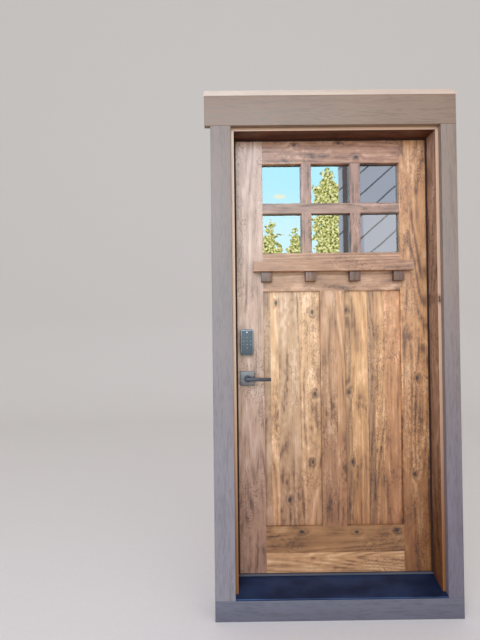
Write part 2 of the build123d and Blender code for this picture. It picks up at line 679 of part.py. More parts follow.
def thumbturn():
    """The thumb turn: grip, flange, round shaft and the flat tail that works the bolt."""
    face = LEAF_BACK_Y + HOUSING_THICK
    flange = (face + TURN_CLEAR, face + TURN_CLEAR + TURN_FLANGE_THICK)
    body = rod_y(LOCK_X, DEADBOLT_Z, TURN_SHAFT_RADIUS, (LEAF_BACK_Y, flange[1]))
    body += rod_y(LOCK_X, DEADBOLT_Z, TURN_FLANGE_RADIUS, flange)
    length = TURN_LENGTH / 2
    width = TURN_WIDTH / 2
    grip = board(
        (LOCK_X - length, LOCK_X + length),
        (flange[1], flange[1] + TURN_HEIGHT),
        (DEADBOLT_Z - width, DEADBOLT_Z + width),
    )
    grip = chamfer(grip.edges().filter_by(Axis.Y), TURN_EDGE)
    body += chamfer(grip.faces().sort_by(Axis.Y)[-1].edges(), TURN_EDGE / 2)
    tail = board(
        (LOCK_X - TAIL_WIDTH / 2, LOCK_X + TAIL_WIDTH / 2),
        (LEAF_MIDDLE_Y - TAIL_PAST_MIDDLE, LEAF_BACK_Y),
        (DEADBOLT_Z - TAIL_THICK / 2, DEADBOLT_Z + TAIL_THICK / 2),
    )
    return body + tail


def without(body, cutters):
    """The body with every cutter taken away."""
    for cutter in cutters:
        body -= cutter
    return body


nodes = {}

# hinges, screws and strikes first, since the wood is cut to take them
frame_hinges = {}
leaf_hinges = {}
frame_screws = []
leaf_screws = []
for name, level in HINGE_LEVELS.items():
    jamb_places = hinge_screw_places(level, REBATE_X)
    leaf_places = hinge_screw_places(level, LEAF_X)
    jamb_set = [screw(place, (1, 0, 0), JAMB_SCREW_LENGTH) for place in jamb_places]
    leaf_set = [screw(place, (-1, 0, 0), LEAF_SCREW_LENGTH) for place in leaf_places]
    frame_half = hinge_half(level, REBATE_X, REBATE_X + HINGE_PLATE, 0)
    leaf_half = hinge_half(level, LEAF_X, LEAF_X - HINGE_PLATE, 1)
    frame_hinges[name] = frame_half
    leaf_hinges[name] = leaf_half
    nodes[f"{name}_hinge_frame_plate"] = without(frame_half, jamb_set)
    nodes[f"{name}_hinge_leaf_plate"] = without(leaf_half, leaf_set)
    frame_screws += jamb_set
    leaf_screws += leaf_set
nodes["hinge_pins"] = Compound([hinge_pin(level).solid() for level in HINGE_LEVELS.values()])

latch_way = strike_hole(LEVER_Z, LATCH_BOLT_WIDTH, LATCH_BOLT_HEIGHT)
deadbolt_way = strike_hole(DEADBOLT_Z, DEADBOLT_WIDTH, DEADBOLT_HEIGHT)
latch_strike = strike_plate(LEVER_Z, True)
deadbolt_strike = strike_plate(DEADBOLT_Z, False)
strike_fixings = strike_screws(LEVER_Z) + strike_screws(DEADBOLT_Z)
nodes["latch_strike_plate"] = without(latch_strike, [latch_way] + strike_fixings[:2])
nodes["deadbolt_strike_plate"] = without(deadbolt_strike, [deadbolt_way] + strike_fixings[2:])
nodes["frame_screws"] = Compound([item.solid() for item in frame_screws + strike_fixings])

# seals, jambs and sill
latch_strip = side_strip(-1)
hinge_strip = side_strip(1)
top_strip = head_strip()
nodes["latch_side_weatherstrip"] = latch_strip
nodes["hinge_side_weatherstrip"] = hinge_strip
nodes["head_weatherstrip"] = top_strip
pockets = [strike_hole(LEVER_Z, DEADBOLT_WIDTH, LATCH_BOLT_HEIGHT), deadbolt_way]
latch_cuts = [latch_strip, latch_strike, deadbolt_strike] + pockets + strike_fixings
nodes["latch_jamb"] = glued_up(without(side_jamb(-1), latch_cuts))
hinge_cuts = [hinge_strip] + list(frame_hinges.values()) + frame_screws
nodes["hinge_jamb"] = without(side_jamb(1), hinge_cuts)
nodes["head_jamb"] = head_jamb() - top_strip
nodes["sill"] = sill()
nodes["sill_cap"] = sill_cap()

# painted boards and the drip cap
casing_y = (-CASING_THICK, 0)
head_top = CASING_Z + HEAD_CASING_HEIGHT
nodes["head_casing"] = board((CASING_LEFT_X - HEAD_EAR, CASING_RIGHT_X), casing_y, (CASING_Z, head_top))
nodes["latch_side_casing"] = board((CASING_LEFT_X, -CASING_X), casing_y, (0, CASING_Z))
nodes["hinge_side_casing"] = board((CASING_X, CASING_RIGHT_X), casing_y, (0, CASING_Z))
nodes["sill_trim_board"] = board((CASING_LEFT_X, CASING_RIGHT_X), casing_y, (-SILL_BOARD_HEIGHT, 0))
nodes["drip_cap"] = drip_cap()

# framing of the leaf, grooved for its panels and sealed units
lites = lite_openings()
panels = panel_openings()
unit_grooves = [held_sheet(x, z, UNIT_RECESS, UNIT_THICK, UNIT_BITE) for x, z in lites]
panel_grooves = [held_sheet(x, z, PANEL_RECESS, PANEL_THICK, PANEL_BITE) for x, z in panels]
eased_lites = [opening_ease(x, z) for x, z in lites]
eased_panels = [opening_ease(x, z) for x, z in panels]
lite_cuts = unit_grooves + eased_lites
panel_cuts = panel_grooves + eased_panels
leaf_y = (LEAF_FRONT_Y, LEAF_BACK_Y)
leaf_z = (LEAF_BOTTOM_Z, LEAF_TOP_Z)
field_x = (-STILE_X, STILE_X)
hinge_stile = board((STILE_X, LEAF_X), leaf_y, leaf_z)
stile_fixings = list(leaf_hinges.values()) + leaf_screws
nodes["hinge_stile"] = without(hinge_stile, lite_cuts + panel_cuts + stile_fixings)
nodes["top_rail"] = without(board(field_x, leaf_y, (LITES_TOP_Z, LEAF_TOP_Z)), lite_cuts)
shelf_rail = board(field_x, leaf_y, (PANELS_TOP_Z, LITES_BOTTOM_Z))
nodes["shelf_rail"] = without(shelf_rail, lite_cuts + panel_cuts)
bottom_rail = board(field_x, leaf_y, (LEAF_BOTTOM_Z, PANELS_BOTTOM_Z))
nodes["bottom_rail"] = without(bottom_rail, panel_cuts)
mullion_x = (-MULLION_WIDTH / 2, MULLION_WIDTH / 2)
mullion = board(mullion_x, leaf_y, (PANELS_BOTTOM_Z, PANELS_TOP_Z))
nodes["centre_mullion"] = without(mullion, panel_cuts)

# glazing bars, half lapped where they cross
level_bar_z = (LITES_TOP_Z - LITE_HEIGHT - BAR_WIDTH, LITES_TOP_Z - LITE_HEIGHT)
level_bar = board(field_x, leaf_y, level_bar_z)
left_bar_x = (-STILE_X + LITE_WIDTH, -STILE_X + LITE_WIDTH + BAR_WIDTH)
right_bar_x = (STILE_X - LITE_WIDTH - BAR_WIDTH, STILE_X - LITE_WIDTH)
front_half = (LEAF_FRONT_Y, LEAF_MIDDLE_Y)
back_half = (LEAF_MIDDLE_Y, LEAF_BACK_Y)
for bar_name, bar_x in (("left_glazing_bar", left_bar_x), ("right_glazing_bar", right_bar_x)):
    upright = board(bar_x, leaf_y, (LITES_BOTTOM_Z, LITES_TOP_Z))
    upright -= board(bar_x, front_half, level_bar_z)
    level_bar -= board(bar_x, back_half, level_bar_z)
    nodes[bar_name] = without(upright, lite_cuts)
nodes["level_glazing_bar"] = without(level_bar, lite_cuts)

# sealed units and panels
row_names = ("upper", "lower")
column_names = ("left", "middle", "right")
for index, (x, z) in enumerate(lites):
    row = row_names[index // LITE_COLUMNS]
    column = column_names[index % LITE_COLUMNS]
    nodes[f"{row}_{column}_lite"] = sealed_unit(x, z)
for side_name, (x, z) in zip(("left", "right"), panels):
    bite = PANEL_BITE - GROOVE_FLOAT
    nodes[f"{side_name}_panel"] = held_sheet(x, z, PANEL_RECESS, PANEL_THICK, bite)

# shelf, dentils and sweep
nodes["shelf"] = shelf()
for index in range(DENTIL_COUNT):
    nodes[f"dentil_{index + 1}"] = dentil(index)
nodes["door_sweep"] = door_sweep()

# lock, latch and levers
hub_hole = SPINDLE_SIDE / math.sqrt(2) + SPINDLE_ROOM
tail_hole = math.hypot(TAIL_WIDTH, TAIL_THICK) / 2 + TAIL_ROOM
latch_case = bolt_case(LEVER_Z, LATCH_BOLT_WIDTH, LATCH_BOLT_HEIGHT, hub_hole)
deadbolt_case = bolt_case(DEADBOLT_Z, DEADBOLT_WIDTH, DEADBOLT_HEIGHT, tail_hole)
edge_screws = faceplate_screws(LEVER_Z) + faceplate_screws(DEADBOLT_Z)
nodes["latch_case"] = without(latch_case, edge_screws[:2])
nodes["deadbolt_case"] = without(deadbolt_case, edge_screws[2:])
nodes["latch_bolt"] = latch_bolt()
nodes["deadbolt"] = deadbolt()

indoor_plate = LEAF_BACK_Y + ROSETTE_THICK
bolt_length = ROSETTE_THICK + LEAF_THICK + THROUGH_BOLT_BITE
bolt_levels = (LEVER_Z - THROUGH_BOLT_OFFSET, LEVER_Z + THROUGH_BOLT_OFFSET)
bolt_places = [(LOCK_X, indoor_plate, level) for level in bolt_levels]
through_bolts = [screw(place, (0, -1, 0), bolt_length) for place in bolt_places]
nodes["exterior_rosette"] = without(rosette_plate(LEAF_FRONT_Y, -1), through_bolts)
nodes["interior_rosette"] = without(rosette_plate(LEAF_BACK_Y, 1), through_bolts)
nodes["exterior_lever"] = lever_handle(LEAF_FRONT_Y, -1) + spindle()
nodes["interior_lever"] = lever_handle(LEAF_BACK_Y, 1) - spindle()

nodes["keypad_housing"] = keypad_housing()
nodes["keypad_face"] = keypad_face()
nodes["interior_lock_housing"] = lock_housing()
nodes["battery_cover"] = lock_cover()
nodes["thumbturn"] = thumbturn()

latch_stile = board((-LEAF_X, -STILE_X), leaf_y, leaf_z)
bores = [rod_y(LOCK_X, level, CROSS_BORE / 2, leaf_y) for level in (LEVER_Z, DEADBOLT_Z)]
for level in (LEVER_Z, DEADBOLT_Z):
    bores.append(rod_x(LEAF_MIDDLE_Y, level, EDGE_BORE / 2, (-LEAF_X, LOCK_X)))
    plate_y = (LEAF_MIDDLE_Y - FACEPLATE_WIDTH / 2, LEAF_MIDDLE_Y + FACEPLATE_WIDTH / 2)
    plate_z = (level - FACEPLATE_HEIGHT / 2, level + FACEPLATE_HEIGHT / 2)
    bores.append(board((-LEAF_X, -LEAF_X + FACEPLATE_THICK), plate_y, plate_z))
nodes["latch_stile"] = without(latch_stile, lite_cuts + panel_cuts + bores + edge_screws)
nodes["leaf_screws"] = Compound([item.solid() for item in leaf_screws + edge_screws + through_bolts])

for name, shape in nodes.items():
    export_step(shape, f"parts/{name}.step")
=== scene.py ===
"""Looks of a six lite entry door in its frame: wood, glass, metal, seals, light and camera."""

import json
import logging
import math
from collections.abc import Callable, Iterable, Sequence
from dataclasses import dataclass, field
from enum import Enum

import bpy
from mathutils import Matrix, Vector

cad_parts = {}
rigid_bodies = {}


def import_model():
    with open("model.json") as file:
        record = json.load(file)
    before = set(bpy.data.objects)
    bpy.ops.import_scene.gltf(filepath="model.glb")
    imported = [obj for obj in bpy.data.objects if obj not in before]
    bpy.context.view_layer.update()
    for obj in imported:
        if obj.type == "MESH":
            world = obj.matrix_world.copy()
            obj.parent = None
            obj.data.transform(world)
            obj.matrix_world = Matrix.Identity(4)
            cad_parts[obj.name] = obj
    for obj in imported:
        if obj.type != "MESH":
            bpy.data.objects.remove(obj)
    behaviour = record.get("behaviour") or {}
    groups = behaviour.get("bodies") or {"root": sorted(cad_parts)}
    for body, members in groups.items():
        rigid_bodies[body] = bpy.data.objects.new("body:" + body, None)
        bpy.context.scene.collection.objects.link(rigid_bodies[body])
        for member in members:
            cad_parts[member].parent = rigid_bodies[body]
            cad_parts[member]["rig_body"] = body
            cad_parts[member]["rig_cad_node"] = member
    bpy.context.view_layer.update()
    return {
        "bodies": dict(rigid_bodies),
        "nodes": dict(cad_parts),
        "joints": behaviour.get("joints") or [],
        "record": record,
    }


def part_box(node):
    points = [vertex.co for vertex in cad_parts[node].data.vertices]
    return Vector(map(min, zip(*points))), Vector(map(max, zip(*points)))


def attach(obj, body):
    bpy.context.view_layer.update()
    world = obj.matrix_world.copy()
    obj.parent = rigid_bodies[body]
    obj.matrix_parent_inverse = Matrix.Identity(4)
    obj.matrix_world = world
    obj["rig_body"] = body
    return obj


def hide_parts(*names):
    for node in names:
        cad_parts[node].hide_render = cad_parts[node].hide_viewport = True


logging.basicConfig(level=logging.INFO, format="%(name)s: %(message)s")
LOG = logging.getLogger("door")

# places and sizes are in millimetres, on the frame's own axes
MM = 0.001
LEAF_FRONT = 88.9
LEAF_BACK = 133.35
LEAF_EDGE = 457.2
# the rebate's side face, past the gap beside the leaf
JAMB_FACE = LEAF_EDGE + 3.0
LOCK_X = -396.9
LEVER_Z = 943.7
DEADBOLT_Z = 1083.4
HINGE_LEVELS = (("top", 1829.9), ("middle", 1104.3), ("bottom", 378.7))

ALDER = "Knotty alder, satin clear coat, "
STAVES = "Knotty alder staves, satin clear coat, "
PAINT = "Acrylic paint, taupe, on embossed board, "

Span = tuple[float, float]
Triple = tuple[float, float, float]
Stops = Iterable[tuple[float, str]]
EdgeTest = Callable[[Vector, Vector], bool]
Socket = bpy.types.NodeSocket
Piece = bpy.types.Object


class Grain(Enum):
    """The way the grain of a board runs."""

    UPRIGHT = "Z"
    LEVEL = "X"


class Body(Enum):
    """The moving bodies that a piece can ride on."""

    FRAME = "frame"
    LEAF = "leaf"
    LEVERS = "levers"
    THUMBTURN = "thumbturn"


def linear(colour: str) -> tuple[float, float, float, float]:
    """Turns an sRGB hex colour into the linear values that a shader takes.

    Args:
        colour: Six hex digits with a leading mark, such as "#8f8682".

    Returns:
        Red, green, blue and a full alpha.
    """
    values = []
    for start in (1, 3, 5):
        part = int(colour[start : start + 2], 16) / 255
        values.append(part / 12.92 if part <= 0.04045 else ((part + 0.055) / 1.055) ** 2.4)
    return (*values, 1.0)


def set_stops(ramp: bpy.types.ColorRamp, stops: Stops) -> None:
    """Fills a colour ramp, which eases from each stop to the next.

    Args:
        ramp: The ramp.
        stops: Places from 0 to 1, each with its hex colour.
    """
    ramp.interpolation = "EASE"
    ramp.elements.remove(ramp.elements[1])
    for index, (place, colour) in enumerate(stops):
        element = ramp.elements[0] if index == 0 else ramp.elements.new(place)
        element.position = place
        element.color = linear(colour)


class Shader:
    """A material's node tree, linked up as its nodes are added."""

    # what a node of a kind is set to, unless its call says otherwise
    usual: dict[str, dict[str, str]] = {
        "MapRange": {"interpolation_type": "SMOOTHSTEP"},
        "Mix": {"data_type": "RGBA"},
    }

    def __init__(self, name: str) -> None:
        """Starts a tree with one surface and the object's own coordinates, in metres.

        Args:
            name: The material's name.
        """
        self.material = bpy.data.materials.new(name)
        self.material.use_nodes = True
        self.tree = self.material.node_tree
        self.surface = self.tree.nodes["Principled BSDF"]
        self.place = self.add("TexCoord", take="Object")

    def add(
        self,
        kind: str,
        *values: object,
        take: str = "",
        stretch: Sequence[float] = (),
        stops: Stops = (),
        **settings: object,
    ) -> Socket:
        """Adds a node with its settings and links.

        Args:
            kind: The node's type name without its common first part.
            *values: For each open input in turn a socket, a plain value, or None to leave it.
            take: The name of the wanted output, where it isn't the first open one.
            stretch: How often a texture repeats in a metre on each axis, which is 1000 over its
                size in millimetres; its own scale is then 1.
            stops: The stops of a colour ramp.
            **settings: Properties of the node itself.

        Returns:
            The output.
        """
        if stretch:
            spread = self.add("VectorMath", values[0], tuple(stretch), operation="MULTIPLY")
            values = (spread, 1.0, *values[1:])
        node = self.tree.nodes.new("ShaderNode" + kind)
        for name, value in {**self.usual.get(kind, {}), **settings}.items():
            setattr(node, name, value)
        if stops:
            set_stops(node.color_ramp, stops)
        self.feed(zip([socket for socket in node.inputs if socket.enabled], values))
        return next(out for out in node.outputs if out.enabled and take in ("", out.name))

    def feed(self, pairs: Iterable[tuple[Socket, object]]) -> None:
        """Links sockets to inputs, or writes plain values there.

        Args:
            pairs: Each input with its socket or value, or with None where it stays as it is.
        """
        for socket, value in pairs:
            if isinstance(value, bpy.types.NodeSocket):
                self.tree.links.new(value, socket)
            elif value is not None:
                socket.default_value = value

    def swing(self, value: Socket, depth: Socket | float) -> Socket:
        """Turns a grey value into one that swings to both sides of nought.

        Args:
            value: The grey value, from 0 to 1.
            depth: How far it swings from end to end.

        Returns:
            The swinging value.
        """
        level = self.add("Math", value, 0.5, operation="SUBTRACT")
        return self.add("Math", level, depth, operation="MULTIPLY")

    def tint(
        self,
        below: object,
        value: Socket,
        span: Sequence[float],
        above: str,
        mode: str = "MULTIPLY",
    ) -> Socket:
        """Lays a colour over another, more or less by where a value lies.

        Args:
            below: The lower colour, as a socket or in linear values.
            value: What decides how much of the upper colour shows.
            span: Two ends of the value, then the share of the upper colour at each of them.
            above: The upper hex colour.
            mode: How the two are blended.

        Returns:
            Both colours as one.
        """
        share = self.add("MapRange", value, *span)
        return self.add("Mix", share, below, linear(above), blend_type=mode)

    def finish(self, **inputs: object) -> bpy.types.Material:
        """Feeds the surface and gives the material back.

        Args:
            **inputs: The surface's inputs, with low lines for the spaces in their names.

        Returns:
            The finished material.
        """
        sockets = self.surface.inputs
        self.feed((sockets[key.replace("_", " ")], value) for key, value in inputs.items())
        return self.material


@dataclass(frozen=True)
class Knot:
    """A knot in a board: its place across and up the door, and its half width, in millimetres."""

    x: float
    z: float
    radius: float = 9.0


@dataclass(frozen=True)
class Stave:
    """One strip of a glued-up panel: where it ends across the panel, and its own tone."""

    end: float
    tone: str


@dataclass(frozen=True)
class KnottyAlder:
    """Knotty alder, planed, stained and sealed with a satin exterior clear coat.

    Cathedral figure, mottling that catches the light, thin dark pores and tight knots make it
    read as real boards, each with a tone of its own.
    """

    name: str
    dark: str
    middle: str
    light: str
    grain: Grain = Grain.UPRIGHT
    seed: float = 0.0
    knots: tuple[Knot, ...] = ()
    start: float = 0.0
    staves: tuple[Stave, ...] = ()
    figure: float = 0.30
    mottle: float = 0.75
    # painted shade, darkening the lowest metre of each board
    foot: str = "#c6b2a6"
    swirl: float = 0.6
    # painted highlight: the paler colour of the front face, within 1.2 mm of the frame's face
    edge: str = ""

    def stave_tone(self, shader: Shader, across: Socket) -> Socket:
        """Gives each strip of a glued-up board its own tone.

        Args:
            shader: The tree in the making.
            across: The place across the strips, in metres.

        Returns:
            A colour that half grey leaves as it is.
        """
        first, last = self.start, self.staves[-1].end
        ends = (first * MM, last * MM)
        share = shader.add("MapRange", across, *ends, interpolation_type="LINEAR")
        edges = [first] + [stave.end for stave in self.staves[:-1]]
        stops = [((edge - first) / (last - first), s.tone) for edge, s in zip(edges, self.staves)]
        tone = shader.add("ValToRGB", share, stops=stops)
        tone.node.color_ramp.interpolation = "CONSTANT"
        return tone

    def knot_distance(self, shader: Shader, across: Socket, along: Socket) -> Socket:
        """Measures how far each place is from its nearest knot.

        Args:
            shader: The tree in the making.
            across: The place across the grain, in metres.
            along: The place along the grain, in metres.

        Returns:
            The distance, with 1 at the rim of the knot.
        """
        add = shader.add
        nearest = None
        upright = self.grain is Grain.UPRIGHT
        for knot in self.knots:
            middle = (knot.x, knot.z) if upright else (knot.z, knot.x)
            # a knot is half as long again as it is wide
            size = (knot.radius * MM, knot.radius * 1.5 * MM)
            sides = []
            for value, centre, half in zip((across, along), middle, size):
                side = add("Math", value, centre * MM, operation="SUBTRACT")
                side = add("Math", side, half, operation="DIVIDE")
                sides.append(add("Math", side, 2.0, operation="POWER"))
            distance = add("Math", add("Math", *sides, operation="ADD"), operation="SQRT")
            if nearest is None:
                nearest = distance
            else:
                nearest = add("Math", nearest, distance, operation="MINIMUM")
        return nearest

    def material(self) -> bpy.types.Material:
        """Builds the wood.

        Returns:
            The material.
        """
        shader = Shader(self.name)
        add, swing, tint = shader.add, shader.swing, shader.tint
        axes = add("SeparateXYZ", shader.place).node.outputs
        along = axes[self.grain.value]
        across = axes["X" if self.grain is Grain.UPRIGHT else "Z"]
        tone = None
        if self.staves:
            # each stave comes from another part of the tree
            tone = self.stave_tone(shader, across)
            leap = add("Math", tone, 37.0, operation="MULTIPLY")
            along = add("Math", along, leap, operation="ADD")
        place = add("CombineXYZ", across, axes["Y"], along)
        seeds = (self.seed, self.seed * 0.7, self.seed * 1.3)
        place = add("VectorMath", place, seeds, operation="ADD")
        # growth rings swell over 140 mm across and 1.3 m along, and waver every 40 mm
        swell = add("TexNoise", place, 1.0, stretch=(7.0, 5.0, 0.75))
        wobble = add("TexNoise", place, 2.0, stretch=(26.0, 9.0, 5.0))
        wobble = add("Math", wobble, 0.05, operation="MULTIPLY")
        swell = add("Math", swell, wobble, operation="ADD")
        if self.knots:
            # the rim of a knot is ragged every 11 mm, and the rings bend round it
            raw = self.knot_distance(shader, across, axes[self.grain.value])
            ragged = add("TexNoise", place, 3.0, stretch=(90.0, 60.0, 60.0))
            ragged = add("Math", ragged, 1.1, operation="MULTIPLY")
            distance = add("Math", raw, ragged, operation="ADD")
            bend = add("MapRange", distance, 0.6, 4.0, 0.07, 0.0)
            swell = add("Math", swell, bend, operation="ADD")
        wave = add("Math", add("Math", swell, 95.0, operation="MULTIPLY"), operation="SINE")
        value = add("Math", wave, self.figure * 0.5, operation="MULTIPLY")
        value = add("Math", 0.5, value, operation="ADD")
        # flecks 17 by 29 mm, in patches of 200 by 330 mm
        patch = add("TexNoise", place, 2.0, stretch=(5.0, 3.0, 3.0))
        patch = add("MapRange", patch, 0.42, 0.62, 0.1, self.mottle)
        flecks = swing(add("TexNoise", place, 3.0, stretch=(60.0, 25.0, 34.0)), patch)
        value = add("Math", flecks, value, operation="ADD")
        # mottling 60 by 140 mm, then streaks 7 mm wide and half a metre long
        mottled = swing(add("TexNoise", place, 3.0, stretch=(16.0, 6.0, 7.0)), self.mottle)
        value = add("Math", value, mottled, operation="ADD")
        streaks = swing(add("TexNoise", place, 3.0, stretch=(150.0, 20.0, 2.2)), 0.55)
        value = add("Math", value, streaks, operation="ADD")
        stops = ((0.08, self.dark), (0.5, self.middle), (0.92, self.light))
        colour = add("ValToRGB", value, stops=stops)
        # thin curls 33 by 67 mm, in patches of 140 by 290 mm
        curls = add("TexNoise", place, 2.0, None, None, 2.6, stretch=(30.0, 14.0, 15.0))
        curls = add("Math", curls, 0.5, operation="SUBTRACT")
        curls = add("MapRange", add("Math", curls, operation="ABSOLUTE"), 0.0, 0.05, 1.0, 0.0)
        patch = add("TexNoise", place, 2.0, stretch=(7.0, 4.0, 3.5))
        patch = add("MapRange", patch, 0.46, 0.6, 0.0, self.swirl)
        curls = add("Math", curls, patch, operation="MULTIPLY")
        colour = add("Mix", curls, colour, linear(self.dark), blend_type="MULTIPLY")
        # real pores are too fine to show, so these are 1.1 mm wide and 60 mm long
        pores = add("TexNoise", place, 1.0, stretch=(900.0, 60.0, 16.0))
        colour = tint(colour, pores, (0.56, 0.7, 0.0, 0.5), self.dark)
        if tone is not None:
            doubled = add("VectorMath", tone, (2.0, 2.0, 2.0), operation="MULTIPLY")
            colour = add("Mix", 1.0, colour, doubled, blend_type="MULTIPLY")
        # painted highlight: the front face at the frame's face turns paler
        if self.edge:
            colour = tint(colour, axes["Y"], (0.3 * MM, 1.2 * MM, 0.85, 0.0), self.edge, "MIX")
        if self.knots:
            # a brown halo, then the dark heart
            colour = tint(colour, distance, (1.2, 3.2, 0.5, 0.0), "#7d5a44")
            colour = tint(colour, distance, (1.1, 1.6, 0.9, 0.0), "#43291d", "MIX")
        # painted shade: the colour is multiplied by the foot shade, wholly at the bottom and fading
        # out 1.15 m up
        colour = tint(colour, axes["Z"], (0.05, 1.15, 1.0, 0.0), self.foot)
        raised = add("Math", 1.0, pores, operation="SUBTRACT")
        return shader.finish(
            Base_Color=colour,
            Roughness=add("MapRange", streaks, -0.3, 0.3, 0.42, 0.55),
            Normal=add("Bump", 1.0, 0.05 * MM, None, raised),
            Specular_IOR_Level=0.4,
            Coat_Weight=0.2,
            Coat_Roughness=0.3,
        )


@dataclass(frozen=True)
class EmbossedPaint:
    """Exterior acrylic paint, brushed on boards that are pressed with a wood grain.

    The shallow pressed lines break up its sheen, so a plain colour still reads as a board.
    """

    name: str
    colour: str
    # painted shade and light: the colour each board fades to at its foot
    foot: str
    grain: Grain = Grain.UPRIGHT

    def material(self) -> bpy.types.Material:
        """Builds the paint.

        Returns:
            The material.
        """
        shader = Shader(self.name)
        add, place = shader.add, shader.place
        upright = self.grain is Grain.UPRIGHT
        # pressed lines 3.3 by 45 mm, coarser than real ones so that they show
        fine = (300.0, 300.0, 22.0) if upright else (22.0, 300.0, 300.0)
        lines = add("TexNoise", place, 3.0, stretch=fine)
        # they lie in swells 22 by 250 mm
        wide = (45.0, 45.0, 4.0) if upright else (4.0, 45.0, 45.0)
        swell = add("TexNoise", place, 1.0, stretch=wide)
        swell = add("Math", swell, 0.6, operation="MULTIPLY")
        pressed = add("Math", lines, swell, operation="ADD")
        height = add("SeparateXYZ", place, take="Z")
        colour = linear(self.colour)
        # painted shade: the paint fades from the foot shade at the bottom to its own colour 2 m up
        colour = shader.tint(colour, height, (-0.05, 2.0, 1.0, 0.0), self.foot, "MIX")
        # painted shade: the colour is darker where the pressed lines sink
        colour = shader.tint(colour, pressed, (0.62, 0.86, 0.30, 0.0), "#8a837f")
        # faint weathering in patches of 330 mm
        patch = add("TexNoise", place, 2.0, stretch=(3.0, 3.0, 3.0))
        return shader.finish(
            Base_Color=shader.tint(colour, patch, (0.3, 0.7, 0.0, 0.18), "#c9c4c6"),
            Roughness=add("MapRange", pressed, 0.5, 1.0, 0.52, 0.64),
            Normal=add("Bump", 1.0, 0.35 * MM, None, pressed),
        )


@dataclass(frozen=True)
class CoatedMetal:
    """Metal under an anodised, plated or baked skin; fine lines and faint wear vary its gloss.

    Its lines are 2.5 by 25 mm unless it gives its own, coarser than real ones so that they show.
    """

    name: str
    colour: str
    second: str
    roughness: float = 0.38
    metallic: float = 0.85
    lines: Triple = (40.0, 400.0, 400.0)

    def material(self) -> bpy.types.Material:
        """Builds the metal.

        Returns:
            The material.
        """
        shader = Shader(self.name)
        add, place = shader.add, shader.place
        # wear in patches of 170 by 70 mm
        cloud = add("TexNoise", place, 3.0, stretch=(6.0, 14.0, 14.0))
        colour = linear(self.colour)
        fine = add("TexNoise", place, 2.0, stretch=self.lines)
        gloss = (self.roughness - 0.06, self.roughness + 0.08)
        return shader.finish(
            Base_Color=shader.tint(colour, cloud, (0.35, 0.68, 0.0, 1.0), self.second, "MIX"),
            Metallic=self.metallic,
            Roughness=add("MapRange", fine, 0.3, 0.7, *gloss),
            Normal=add("Bump", 1.0, 0.02 * MM, None, fine),
        )


@dataclass(frozen=True)
class Moulded:
    """Moulded plastic, foam skin or rubber with the fine dimples its mould leaves on it.

    Its dimples are 1.1 mm wide unless it gives its own, wider than real ones so that they show.
    """

    name: str
    colour: str
    roughness: float
    pits: float = 900.0
    depth: float = 0.04
    specular: float = 0.5

    def material(self) -> bpy.types.Material:
        """Builds the moulded skin.

        Returns:
            The material.
        """
        shader = Shader(self.name)
        add, place = shader.add, shader.place
        pits = add("TexNoise", place, 1.0, stretch=(self.pits,) * 3)
        # handling marks in patches of 110 mm
        cloud = add("TexNoise", place, 2.0, stretch=(9.0, 9.0, 9.0))
        colour = shader.tint(linear(self.colour), cloud, (0.3, 0.7, 0.0, 0.25), "#b0aca8")
        gloss = (self.roughness - 0.06, self.roughness + 0.06)
        return shader.finish(
            Base_Color=colour,
            Roughness=add("MapRange", pits, 0.3, 0.7, *gloss),
            Normal=add("Bump", 1.0, self.depth * MM, None, pits),
            Specular_IOR_Level=self.specular,
        )


@dataclass(frozen=True)
class SealedGlass:
    """Float glass with a grey low-emissivity skin, in sealed double units.

    It keeps the room behind dim and gives back the sky, with the slight waves of rolled sheet.
    """

    name: str = "Low-e float glass, grey tint"
    colour: str = "#6e7c84"

    def material(self) -> bpy.types.Material:
        """Builds the glass.

        Returns:
            The material.
        """
        shader = Shader(self.name)
        # waves 200 mm apart
        waves = shader.add("TexNoise", shader.place, 1.0, stretch=(5.0, 5.0, 4.0))
        return shader.finish(
            Base_Color=linear(self.colour),
            Roughness=0.0,
            Transmission_Weight=1.0,
            IOR=1.52,
            Coat_Weight=1.0,
            Coat_Roughness=0.0,
            Coat_IOR=2.0,
            Normal=shader.add("Bump", 1.0, 0.5 * MM, None, waves),
        )


def select_only(*pieces: Piece) -> None:
    """Selects the pieces and nothing else.

    Args:
        *pieces: The pieces, of which the first becomes the active one.
    """
    bpy.ops.object.select_all(action="DESELECT")
    for piece in pieces:
        piece.select_set(True)
    bpy.context.view_layer.objects.active = pieces[0]


def named(piece: Piece, name: str) -> Piece:
    """Names a piece and its mesh, and gives the piece back."""
    piece.name = piece.data.name = name
    return piece


def around(middle: float, size: float) -> Span:
    """Returns the span of a size that has a value in its middle."""
    return middle - size / 2, middle + size / 2


def settle(name: str) -> Piece:
    """Names the active piece and writes its place into its mesh.

    Args:
        name: The name of the piece and its mesh.

    Returns:
        The piece.
    """
    bpy.ops.object.transform_apply(location=True, rotation=True, scale=True)
    return named(bpy.context.object, name)


def block(name: str, x: Span, y: Span, z: Span) -> Piece:
    """Makes a straight block.

    Args:
        name: The piece's name.
        x: Its span on that axis, in millimetres, as are the next two.
        y: Its span from outdoors to indoors.
        z: Its span upwards.

    Returns:
        The block.
    """
    bpy.ops.object.select_all(action="DESELECT")
    bpy.ops.mesh.primitive_cube_add(size=1.0)
    piece = bpy.context.object
    piece.location = [sum(span) / 2 * MM for span in (x, y, z)]
    piece.scale = [(span[1] - span[0]) * MM for span in (x, y, z)]
    return settle(name)


